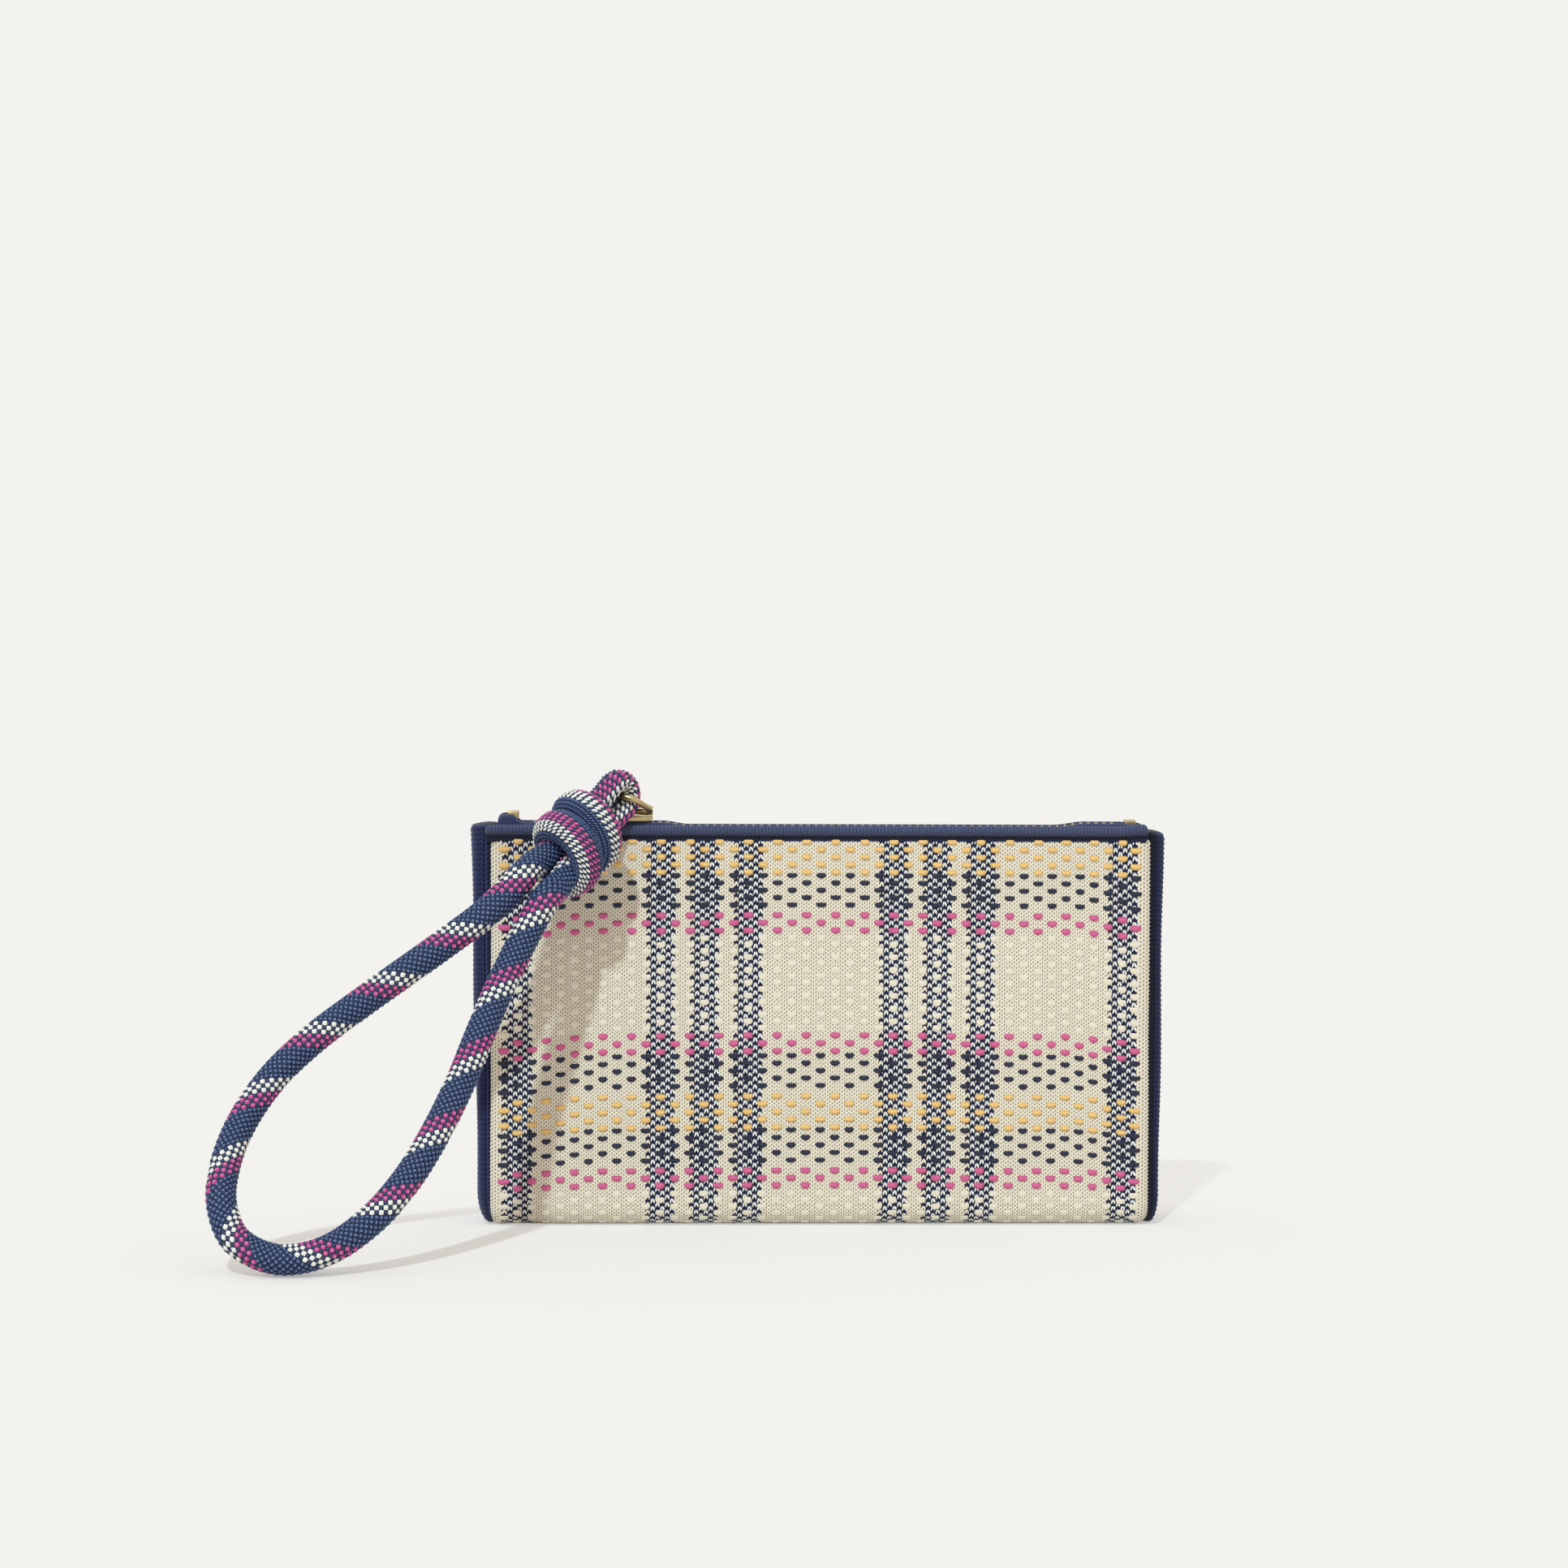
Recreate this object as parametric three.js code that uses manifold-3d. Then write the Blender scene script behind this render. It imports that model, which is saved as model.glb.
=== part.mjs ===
// Knitted zip wristlet: a flat pouch on a narrow base, a metal zip along its top and a
// knotted rope strap on the zip's pull ring. Millimetres, +Z up, front towards -Y.
import * as THREE from 'three';
import { mergeVertices } from 'three/addons/utils/BufferGeometryUtils.js';
import Module from 'manifold-3d';

const wasm = await Module();
wasm.setup();

// Pouch
const PANEL_WIDTH = 198;       // knitted panel between its two side seams
const POUCH_HEIGHT = 120;      // floor to the top of the rim
const BASE_DEPTH = 28;         // front to back at the floor
const TOP_DEPTH = 14;          // front to back at the rim
const FOLD_RADIUS = 6;         // where a panel turns under into the base
const KNIT = 2;                // thickness of the outer knit
const STIFFENER = 0.8;         // interlining that keeps the panels crisp
const LINING = 0.6;
const LINING_DROP = 6;         // rim top down to the lining's upper edge
const RIM_HEIGHT = 3.5;        // rolled edge along the mouth
const RIM_PROUD = 0.8;         // how far the rolled edge stands out from the panel
const GUSSET_BULGE_TOP = 6;    // side gusset beyond the panel's edge
const GUSSET_BULGE_FOOT = 4;
const GUSSET_CORNER = 12;      // height over which the gusset's foot rounds in
const SEAM_GAP = 0.3;          // between pieces that touch

// Zip
const ZIP_RISE = 0.5;          // middle of the chain above the rim's top
const TAPE = 0.6;              // thickness of the woven tape
const TAPE_SEWN = 13;          // tape hidden behind the panel, below the rim's top
const TAPE_END_INSET = 1.5;    // panel's edge to the end of the tape
const TAPE_TAIL = 3;           // tape beyond the stops
const CHAIN_WIDTH = 4.6;       // across both rows of teeth
const BEAD = 0.5;              // edge of the tape that the teeth grip
const TOOTH_PITCH = 2.35;
const TOOTH_WIDTH = 1.15;
const TOOTH_HEIGHT = 1.6;
const STOP_LENGTH = 3.4;
const STOP_HEIGHT = 2.2;

// Slider and pull ring
const SLIDER_X = -56;          // the zip stands open to the left of the slider
const SLIDER_LENGTH = 10;
const SLIDER_SHOULDER = 7.6;   // width at the open end
const SLIDER_TAIL = 6;         // width at the closed end
const SLIDER_PLATE = 0.9;
const SLIDER_CORNER = 1;       // cut off each corner of the open end
const SLIDER_FLANGE = 0.7;     // width of the edges that turn in over the tape
const POST_WIDTH = 0.8;        // wedge between the two rows of teeth
const POST_LENGTH = 2.4;
const BRIDGE_SHIFT = 1.3;      // towards the closed end, from the slider's middle
const BRIDGE_LENGTH = 7.4;
const BRIDGE_WIDTH = 1.8;
const BRIDGE_WIRE = 0.9;
const RING_LENGTH = 12;        // between the wire's middles at both ends
const RING_WIDTH = 11;
const RING_CORNER = 3.5;
const RING_WIRE = 1.8;
const RING_TILT = 27;          // degrees above level, as it is held by the strap
const RING_PLAY = 0.25;        // around the wire in the bridge

// Rope strap
const STRAP_YAW = 50;          // degrees from the zip's line towards the front
const STRAP_DROP = 32;         // degrees below level, from the ring to the knot
const ROPE = 9.2;              // diameter of the braided rope
const ROPE_SQUEEZED = 6.6;     // where it bends hard round the ring's wire
const WRAP_ROPE = 9;           // drawn tight in the knot
const WRAP_TURNS = 1.85;
const WRAP_PITCH = 10;
const WRAP_START = 320;        // degrees, so that the rope's ends are tucked in behind the knot
const KNOT_DISTANCE = 23;      // ring's wire to the middle of the knot
const KNOT_RADIUS = 12.9;      // outside of the wraps
const KNOT_COLLAR = 2;         // where the legs of the strap go into the knot
const LEG_TWIST = -41;         // degrees, how the two legs lie side by side under the knot
const LEG_STRAIGHT = 7.4;      // they run straight out of the knot before they part
const ROPE_SIDES = 10;
const LOOP_STEPS = 44;

// Wrist loop from the knot's left leg round to its right leg: across and forward from the
// knot's foot in millimetres, and height as a share of the way from the floor up to the knot.
const LOOP_ROUTE = [
  [-17, -9.5, 0.906], [-29.5, -13.5, 0.819], [-40.5, -17, 0.746], [-54, -20.5, 0.656],
  [-67.5, -25, 0.561], [-78.5, -29.5, 0.462], [-87, -36, 0.347], [-91.5, -44, 0.235], [-92, -51.5, 0.14],
  [-87.5, -57, 0.05], [-76, -59.5, 0.002], [-62.5, -58.5, 0.022], [-50, -54.5, 0.097],
  [-40, -48.5, 0.197], [-31.5, -40.5, 0.321], [-24.5, -32, 0.451], [-18, -23, 0.597], [-11, -14.5, 0.744],
];

const KNIT_CREAM = new THREE.MeshStandardMaterial({ color: 0xe2ddcb, roughness: 0.9, metalness: 0 });
const KNIT_NAVY = new THREE.MeshStandardMaterial({ color: 0x21284c, roughness: 0.9, metalness: 0 });
const TAPE_NAVY = new THREE.MeshStandardMaterial({ color: 0x262f57, roughness: 0.8, metalness: 0 });
const LINING_NAVY = new THREE.MeshStandardMaterial({ color: 0x2b3566, roughness: 0.7, metalness: 0 });
const FELT_GREY = new THREE.MeshStandardMaterial({ color: 0xc9c6bd, roughness: 1, metalness: 0 });
const BRASS = new THREE.MeshStandardMaterial({ color: 0xbea064, roughness: 0.35, metalness: 1 });
const ROPE_NAVY = new THREE.MeshStandardMaterial({ color: 0x2a426e, roughness: 0.6, metalness: 0 });

const radians = THREE.MathUtils.degToRad;
const mix = THREE.MathUtils.lerp;
const halfPanel = PANEL_WIDTH / 2;
const chainZ = POUCH_HEIGHT + ZIP_RISE;

// Solids and helpers

function toSolid(geometry) {
  const bare = geometry.clone();
  bare.deleteAttribute('normal');
  bare.deleteAttribute('uv');
  const merged = mergeVertices(bare, 1e-4);
  return new wasm.Manifold(new wasm.Mesh({
    numProp: 3,
    vertProperties: new Float32Array(merged.attributes.position.array),
    triVerts: new Uint32Array(merged.index.array),
  }));
}

function toGeometry(solid) {
  const mesh = solid.getMesh();
  const geometry = new THREE.BufferGeometry();
  geometry.setAttribute('position', new THREE.BufferAttribute(new Float32Array(mesh.vertProperties), 3));
  geometry.setIndex(new THREE.BufferAttribute(new Uint32Array(mesh.triVerts), 1));
  geometry.computeVertexNormals();
  return geometry;
}

function cut(body, tool) {
  return toGeometry(toSolid(body).subtract(toSolid(tool)));
}

function common(body, other) {
  return toGeometry(toSolid(body).intersect(toSolid(other)));
}

function join(...bodies) {
  return toGeometry(bodies.map(toSolid).reduce((whole, next) => whole.add(next)));
}

function prism(outline, length) {
  const shape = new THREE.Shape(outline.map(([across, up]) => new THREE.Vector2(across, up)));
  return new THREE.ExtrudeGeometry(shape, { depth: length, bevelEnabled: false });
}

// An outline of [y, z] carried along X, one of [x, z] along Y, and one of [x, y] along Z.
function prismAlongX(outline, x0, x1) {
  const turn = new THREE.Matrix4().makeBasis(
    new THREE.Vector3(0, 1, 0), new THREE.Vector3(0, 0, 1), new THREE.Vector3(1, 0, 0));
  return prism(outline, x1 - x0).applyMatrix4(turn).translate(x0, 0, 0);
}

function prismAlongY(outline, y0, y1) {
  return prism(outline, y1 - y0).rotateX(Math.PI / 2).translate(0, y1, 0);
}

function prismAlongZ(outline, z0, z1) {
  return prism(outline, z1 - z0).translate(0, 0, z0);
}

function box(x0, x1, y0, y1, z0, z1) {
  return new THREE.BoxGeometry(x1 - x0, y1 - y0, z1 - z0)
    .translate((x0 + x1) / 2, (y0 + y1) / 2, (z0 + z1) / 2);
}

// A skin over rings of equal count, closed at both ends, or end to start where looped.
function skin(rings, looped = false) {
  const count = rings[0].length;
  const positions = rings.flat().flatMap((p) => [p.x, p.y, p.z]);
  const faces = [];
  const spans = looped ? rings.length : rings.length - 1;
  for (let r = 0; r < spans; r += 1) {
    const low = r * count;
    const high = ((r + 1) % rings.length) * count;
    for (let i = 0; i < count; i += 1) {
      const j = (i + 1) % count;
      faces.push(low + i, low + j, high + j, low + i, high + j, high + i);
    }
  }
  if (!looped) {
    const last = (rings.length - 1) * count;
    for (let i = 1; i < count - 1; i += 1) {
      faces.push(0, i + 1, i, last, last + i, last + i + 1);
    }
  }
  const geometry = new THREE.BufferGeometry();
  geometry.setAttribute('position', new THREE.Float32BufferAttribute(positions, 3));
  geometry.setIndex(faces);
  geometry.computeVertexNormals();
  return geometry;
}

function tube(curve, diameter, steps, sides = ROPE_SIDES) {
  const section = new THREE.Shape(new THREE.EllipseCurve(0, 0, diameter / 2, diameter / 2).getPoints(sides));
  return new THREE.ExtrudeGeometry(section, { steps, extrudePath: curve, bevelEnabled: false });
}

function mirrorInY(outline) {
  return outline.map(([y, z]) => [-y, z]);
}

function mirrorInX(outline) {
  return outline.map(([x, y]) => [x, -y]).reverse();
}

function piece(name, geometry, material, parent) {
  const mesh = new THREE.Mesh(geometry, material);
  mesh.name = name;
  parent.add(mesh);
  return mesh;
}

// The pouch leans in from its base to its rim.

function halfDepth(z) {
  return mix(BASE_DEPTH, TOP_DEPTH, z / POUCH_HEIGHT) / 2;
}

const foldCentre = halfDepth(FOLD_RADIUS) - FOLD_RADIUS;

function halfDepthAtFold(z) {
  if (z >= FOLD_RADIUS) return halfDepth(z);
  return foldCentre + Math.sqrt(FOLD_RADIUS ** 2 - (FOLD_RADIUS - z) ** 2);
}

// Front slab of a layer that lies `inset` behind the outside of the knit.
function frontLayer(inset, thickness, z0, z1) {
  const outer = (z) => -(halfDepth(z) - inset);
  return [[outer(z0), z0], [outer(z0) + thickness, z0], [outer(z1) + thickness, z1], [outer(z1), z1]];
}

function foldArc(radius, steps = 6) {
  return Array.from({ length: steps + 1 }, (_, i) => {
    const turn = (Math.PI / 2) * (i / steps);
    return [-foldCentre - radius * Math.cos(turn), FOLD_RADIUS - radius * Math.sin(turn)];
  });
}

function addPanels(pouch) {
  const panelTop = POUCH_HEIGHT - RIM_HEIGHT - SEAM_GAP;
  const panel = frontLayer(0, KNIT, FOLD_RADIUS + SEAM_GAP, panelTop);
  piece('front_panel', prismAlongX(panel, -halfPanel, halfPanel), KNIT_CREAM, pouch);
  piece('back_panel', prismAlongX(mirrorInY(panel), -halfPanel, halfPanel), KNIT_CREAM, pouch);

  const outside = foldArc(FOLD_RADIUS);
  const inside = foldArc(FOLD_RADIUS - KNIT);
  const base = [...outside, ...mirrorInY(outside).reverse(), ...mirrorInY(inside), ...inside.reverse()];
  piece('base_panel', prismAlongX(base, -halfPanel, halfPanel), KNIT_CREAM, pouch);

  const stiffener = frontLayer(KNIT + SEAM_GAP, STIFFENER, FOLD_RADIUS + KNIT,
    POUCH_HEIGHT - TAPE_SEWN - SEAM_GAP);
  const stiffHalf = halfPanel - KNIT;
  piece('front_stiffener', prismAlongX(stiffener, -stiffHalf, stiffHalf), FELT_GREY, pouch);
  piece('back_stiffener', prismAlongX(mirrorInY(stiffener), -stiffHalf, stiffHalf), FELT_GREY, pouch);
}

function addRims(pouch) {
  const thick = KNIT + RIM_PROUD;
  const middle = POUCH_HEIGHT - RIM_HEIGHT / 2;
  const centre = -(halfDepth(middle) - KNIT + thick / 2);
  const sides = 12;
  const section = Array.from({ length: sides }, (_, i) => {
    const turn = (2 * Math.PI * (i + 0.5)) / sides;
    return [centre + (thick / 2) * Math.cos(turn), middle + (RIM_HEIGHT / 2) * Math.sin(turn)];
  });
  piece('front_rim', prismAlongX(section, -halfPanel, halfPanel), KNIT_NAVY, pouch);
  piece('back_rim', prismAlongX(mirrorInY(section), -halfPanel, halfPanel), KNIT_NAVY, pouch);
}

// Half-round outline of a gusset at one height, `inset` inside its outer face. Its flat side
// lies `reach` inside the side seam.
function gussetRing(z, height, inset, reach) {
  const round = Math.min(z / GUSSET_CORNER, 1);
  const corner = Math.sqrt(1 - (1 - round) ** 2);
  const bulge = mix(GUSSET_BULGE_FOOT, GUSSET_BULGE_TOP, z / POUCH_HEIGHT) * corner - inset;
  const half = halfDepthAtFold(z) - inset;
  const seam = halfPanel + SEAM_GAP;
  const steps = 10;
  const ring = [];
  if (reach > 0) ring.push(new THREE.Vector3(seam - reach, -half, height));
  for (let i = 0; i <= steps; i += 1) {
    const turn = Math.PI * (i / steps);
    ring.push(new THREE.Vector3(seam + Math.max(bulge, 0) * Math.sin(turn), -half * Math.cos(turn), height));
  }
  if (reach > 0) ring.push(new THREE.Vector3(seam - reach, half, height));
  return ring;
}

function addGussets(pouch) {
  const steps = 5;
  const rounded = Array.from({ length: steps },
    (_, i) => GUSSET_CORNER * (1 - Math.cos((Math.PI / 2) * ((i + 1) / steps))));
  const levels = [SEAM_GAP, ...rounded, POUCH_HEIGHT / 2, POUCH_HEIGHT];
  const outer = skin(levels.map((z) => gussetRing(z, z, 0, 0)));
  const hollow = [GUSSET_CORNER / 2, GUSSET_CORNER, POUCH_HEIGHT / 2, POUCH_HEIGHT - KNIT];
  const inner = skin(hollow.map((z) => gussetRing(z, z, KNIT, KNIT)));
  const right = cut(outer, inner);
  piece('right_gusset', right, KNIT_NAVY, pouch);
  const left = piece('left_gusset', right, KNIT_NAVY, pouch);
  left.rotation.z = Math.PI;
}

function addLining(pouch) {
  const outside = KNIT + Math.max(STIFFENER, TAPE) + 2 * SEAM_GAP;
  const floor = KNIT + SEAM_GAP;
  const bag = (inset, bottom, top) => {
    const half = [
      [-foldCentre, bottom],
      [-(halfDepth(FOLD_RADIUS) - inset), FOLD_RADIUS],
      [-(halfDepth(top) - inset), top],
    ];
    return [...half, ...mirrorInY(half).reverse()];
  };
  const top = POUCH_HEIGHT - LINING_DROP;
  const end = halfPanel - SEAM_GAP;
  const solid = prismAlongX(bag(outside, floor, top), -end, end);
  const room = prismAlongX(bag(outside + LINING, floor + LINING, top + LINING), -end + LINING, end - LINING);
  piece('lining', cut(solid, room), LINING_NAVY, pouch);
}

// Zip: two tapes that come up inside the rims and turn in to the teeth

const tapeHalf = halfPanel - TAPE_END_INSET;
const chainHalf = tapeHalf - TAPE_TAIL - STOP_LENGTH - SEAM_GAP;
const chainGap = POST_WIDTH + 2 * SEAM_GAP;

function addTapes(pouch) {
  const inset = KNIT + SEAM_GAP;
  const foot = POUCH_HEIGHT - TAPE_SEWN;
  const top = chainZ + TAPE / 2;
  const under = chainZ - TAPE / 2;
  const edge = -(CHAIN_WIDTH / 2 + SEAM_GAP);
  const outline = [
    [-(halfDepth(foot) - inset), foot],
    [-(halfDepth(foot) - inset - TAPE), foot],
    [-(halfDepth(under) - inset - TAPE), under],
    [edge, under],
    [edge, top],
    [-(halfDepth(top) - inset), top],
  ];
  piece('front_zip_tape', prismAlongX(outline, -tapeHalf, tapeHalf), TAPE_NAVY, pouch);
  piece('back_zip_tape', prismAlongX(mirrorInY(outline), -tapeHalf, tapeHalf), TAPE_NAVY, pouch);
}

// A row of teeth on the bead that they grip, as one comb; the two rows are half a pitch apart.
function toothRow(shift) {
  const root = CHAIN_WIDTH / 2 - BEAD;
  const outline = [[chainHalf, CHAIN_WIDTH / 2], [-chainHalf, CHAIN_WIDTH / 2], [-chainHalf, root]];
  const room = 2 * chainHalf - TOOTH_WIDTH - TOOTH_PITCH;
  const count = Math.floor(room / TOOTH_PITCH) + 1;
  for (let i = 0; i < count; i += 1) {
    const x = -chainHalf + TOOTH_PITCH / 4 + (i + shift) * TOOTH_PITCH;
    outline.push([x, root], [x, chainGap / 2], [x + TOOTH_WIDTH, chainGap / 2], [x + TOOTH_WIDTH, root]);
  }
  outline.push([chainHalf, root]);
  return prismAlongZ(outline, chainZ - TOOTH_HEIGHT / 2, chainZ + TOOTH_HEIGHT / 2);
}

function addTeeth(pouch) {
  piece('back_zip_teeth', toothRow(0), BRASS, pouch);
  const front = piece('front_zip_teeth', toothRow(0.5).rotateX(Math.PI), BRASS, pouch);
  front.position.z = 2 * chainZ;

  const low = chainZ - STOP_HEIGHT / 2;
  const high = chainZ + STOP_HEIGHT / 2;
  const near = chainGap / 2;
  const far = CHAIN_WIDTH / 2;
  const start = -chainHalf - SEAM_GAP;
  piece('back_top_stop', box(start - STOP_LENGTH, start, near, far, low, high), BRASS, pouch);
  piece('front_top_stop', box(start - STOP_LENGTH, start, -far, -near, low, high), BRASS, pouch);
  piece('bottom_stop', box(-start, -start + STOP_LENGTH, -far, far, low, high), BRASS, pouch);
}

// Slider, in a frame at the middle of the chain under it

function channelHalf(width) {
  const inside = TOOTH_HEIGHT / 2 + SEAM_GAP;
  const outside = inside + SLIDER_PLATE;
  const lip = TAPE / 2 + SEAM_GAP;
  const half = width / 2;
  const inner = half - SLIDER_FLANGE;
  return [[-half, lip], [-inner, lip], [-inner, inside], [inner, inside], [inner, lip], [half, lip],
    [half, outside], [-half, outside]];
}

function addSlider(slider) {
  const nose = -SLIDER_LENGTH / 2;
  const tail = SLIDER_LENGTH / 2;
  const face = nose + SLIDER_CORNER;
  const shield = [[nose, -SLIDER_SHOULDER / 2 + SLIDER_CORNER], [face, -SLIDER_SHOULDER / 2],
    [0, -SLIDER_SHOULDER / 2], [tail, -SLIDER_TAIL / 2]];
  const plan = [...shield, ...mirrorInX(shield)];
  const upper = channelHalf(SLIDER_SHOULDER);
  const lower = channelHalf(SLIDER_TAIL).map(([y, z]) => [y, -z]);
  const reach = TOOTH_HEIGHT / 2 + SEAM_GAP + SLIDER_PLATE;
  const outline = prismAlongZ(plan, -2 * reach, 2 * reach);
  const top = common(outline, prismAlongX(upper, nose, tail));
  const bottom = prismAlongX(lower, face, tail);
  const postHeight = TOOTH_HEIGHT / 2 + SEAM_GAP + SLIDER_PLATE / 2;
  const post = box(face, face + POST_LENGTH, -POST_WIDTH / 2, POST_WIDTH / 2, -postHeight, postHeight);
  piece('slider_body', join(top, post, bottom), BRASS, slider);

  const seat = reach + SEAM_GAP;
  const roof = seat + RING_WIRE + RING_PLAY;
  const half = BRIDGE_LENGTH / 2;
  const leg = half - BRIDGE_WIRE;
  const arch = [[-half, seat], [-leg, seat], [-leg, roof], [leg, roof], [leg, seat], [half, seat],
    [half, roof + BRIDGE_WIRE / 2], [leg, roof + BRIDGE_WIRE],
    [-leg, roof + BRIDGE_WIRE], [-half, roof + BRIDGE_WIRE / 2]];
  const bridge = prismAlongY(arch, -BRIDGE_WIDTH / 2, BRIDGE_WIDTH / 2).translate(BRIDGE_SHIFT, 0, 0);
  piece('slider_bridge', bridge, BRASS, slider);
}

const pivotHeight = TOOTH_HEIGHT / 2 + SEAM_GAP + SLIDER_PLATE + SEAM_GAP + RING_WIRE / 2;

// Pull ring in its own plane: the pivot's wire at the origin, the far wire at x = RING_LENGTH
function ringGeometry() {
  const half = RING_WIDTH / 2;
  const corners = [
    [RING_LENGTH - RING_CORNER, half - RING_CORNER, 0], [RING_CORNER, half - RING_CORNER, 90],
    [RING_CORNER, -half + RING_CORNER, 180], [RING_LENGTH - RING_CORNER, -half + RING_CORNER, 270],
  ];
  const sides = 8;
  const rings = corners.flatMap(([x, y, from]) => [0, 30, 60, 90].map((step) => {
    const turn = radians(from + step);
    const out = new THREE.Vector3(Math.cos(turn), Math.sin(turn), 0);
    const middle = new THREE.Vector3(x, y, 0).addScaledVector(out, RING_CORNER);
    return Array.from({ length: sides }, (_, i) => {
      const around = (2 * Math.PI * (i + 0.5)) / sides;
      return middle.clone().addScaledVector(out, (RING_WIRE / 2) * Math.cos(around))
        .add(new THREE.Vector3(0, 0, (RING_WIRE / 2) * Math.sin(around)));
    });
  }));
  return skin(rings.map((ring) => ring.reverse()), true);
}

// Strap, in a frame with the ring's far wire at its origin and X down the legs to the knot

const bightRadius = RING_WIRE / 2 + SEAM_GAP + ROPE_SQUEEZED / 2;
const wrapRadius = KNOT_RADIUS - WRAP_ROPE / 2;
const wrapHalf = (WRAP_TURNS * WRAP_PITCH) / 2;
const collarStart = wrapHalf + WRAP_ROPE / 2 + SEAM_GAP;
const knotHalf = collarStart + KNOT_COLLAR;

function bightCurve() {
  const legEnd = KNOT_DISTANCE - knotHalf - SEAM_GAP;
  const points = [new THREE.Vector3(legEnd, 0, bightRadius), new THREE.Vector3(legEnd / 2, 0, bightRadius)];
  const steps = 8;
  for (let i = 0; i <= steps; i += 1) {
    const turn = Math.PI / 2 + Math.PI * (i / steps);
    points.push(new THREE.Vector3(bightRadius * Math.cos(turn), 0, bightRadius * Math.sin(turn)));
  }
  points.push(new THREE.Vector3(legEnd / 2, 0, -bightRadius), new THREE.Vector3(legEnd, 0, -bightRadius));
  return new THREE.CatmullRomCurve3(points);
}

class WrapCurve extends THREE.Curve {
  getPoint(t, target = new THREE.Vector3()) {
    const turn = 2 * Math.PI * WRAP_TURNS * (t - 0.5) + radians(WRAP_START);
    return target.set(
      KNOT_DISTANCE + WRAP_PITCH * WRAP_TURNS * (t - 0.5),
      -wrapRadius * Math.cos(turn), wrapRadius * Math.sin(turn));
  }
}

// Least gap between one turn of the wraps and the next, measured on points along the rope.
function leastWrapGap(curve) {
  const count = 48 * Math.ceil(WRAP_TURNS);
  const points = curve.getPoints(count);
  const apart = Math.round(count / WRAP_TURNS / 2);
  let least = Infinity;
  for (let i = 0; i < points.length; i += 1) {
    for (let j = i + apart; j < points.length; j += 1) {
      least = Math.min(least, points[i].distanceTo(points[j]) - WRAP_ROPE);
    }
  }
  return least;
}

function addStrapTop(strap) {
  piece('strap_top_bight', tube(bightCurve(), ROPE_SQUEEZED, 20), ROPE_NAVY, strap);

  const wraps = new WrapCurve();
  const wrapSteps = Math.round(24 * WRAP_TURNS);
  piece('strap_knot_wraps', tube(wraps, WRAP_ROPE, wrapSteps, 8), ROPE_NAVY, strap);
  console.log(`knot wraps: least gap ${leastWrapGap(wraps).toFixed(2)} mm`);

  const core = wrapRadius - WRAP_ROPE / 2 - SEAM_GAP;
  const topCollar = bightRadius + ROPE_SQUEEZED / 2;
  const profile = [
    [0, -knotHalf], [topCollar, -knotHalf], [topCollar, -collarStart], [core, -collarStart],
    [core, collarStart], [ROPE, collarStart], [ROPE, knotHalf], [0, knotHalf],
  ].map(([r, along]) => new THREE.Vector2(r, along));
  const middle = new THREE.LatheGeometry(profile, 24);
  middle.rotateZ(-Math.PI / 2).translate(KNOT_DISTANCE, 0, 0);
  piece('strap_knot_core', middle, ROPE_NAVY, strap);
}

function loopCurve(strap) {
  const along = KNOT_DISTANCE + knotHalf + SEAM_GAP;
  const apart = ROPE / 2 + SEAM_GAP;
  const twist = radians(LEG_TWIST);
  const side = new THREE.Vector3(0, Math.cos(twist), Math.sin(twist));
  const leg = (sign, reach) => strap.localToWorld(
    new THREE.Vector3(along + reach, 0, 0).addScaledVector(side, sign * apart));
  const foot = strap.localToWorld(new THREE.Vector3(along, 0, 0));
  const rest = ROPE / 2 + SEAM_GAP / 2;
  const route = LOOP_ROUTE.map(([x, y, share]) => new THREE.Vector3(
    foot.x + x, foot.y + y, mix(rest, foot.z, share)));
  return new THREE.CatmullRomCurve3(
    [leg(-1, 0), leg(-1, LEG_STRAIGHT), ...route, leg(1, LEG_STRAIGHT), leg(1, 0)]);
}

function build() {
  const wristlet = new THREE.Group();
  const pouch = new THREE.Group();
  wristlet.add(pouch);
  addPanels(pouch);
  addRims(pouch);
  addGussets(pouch);
  addLining(pouch);
  addTapes(pouch);
  addTeeth(pouch);

  const slider = new THREE.Group();
  slider.position.set(SLIDER_X, 0, chainZ);
  wristlet.add(slider);
  addSlider(slider);

  const pull = new THREE.Group();
  pull.position.set(BRIDGE_SHIFT, 0, pivotHeight);
  pull.rotation.z = Math.PI + radians(STRAP_YAW);
  slider.add(pull);
  const ring = piece('pull_ring', ringGeometry(), BRASS, pull);
  ring.rotation.y = -radians(RING_TILT);

  const strap = new THREE.Group();
  const tilt = radians(RING_TILT);
  strap.position.set(RING_LENGTH * Math.cos(tilt), 0, RING_LENGTH * Math.sin(tilt));
  strap.rotation.y = radians(STRAP_DROP);
  pull.add(strap);
  addStrapTop(strap);

  wristlet.updateMatrixWorld(true);
  piece('strap_wrist_loop', tube(loopCurve(strap), ROPE, LOOP_STEPS), ROPE_NAVY, wristlet);
  return wristlet;
}

export default build();
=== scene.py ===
"""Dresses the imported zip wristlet: check knit, rolled rim, metal zip and braided rope strap."""

import math

import bmesh
import bpy
import numpy as np
from mathutils import Matrix, Quaternion, Vector


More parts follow.
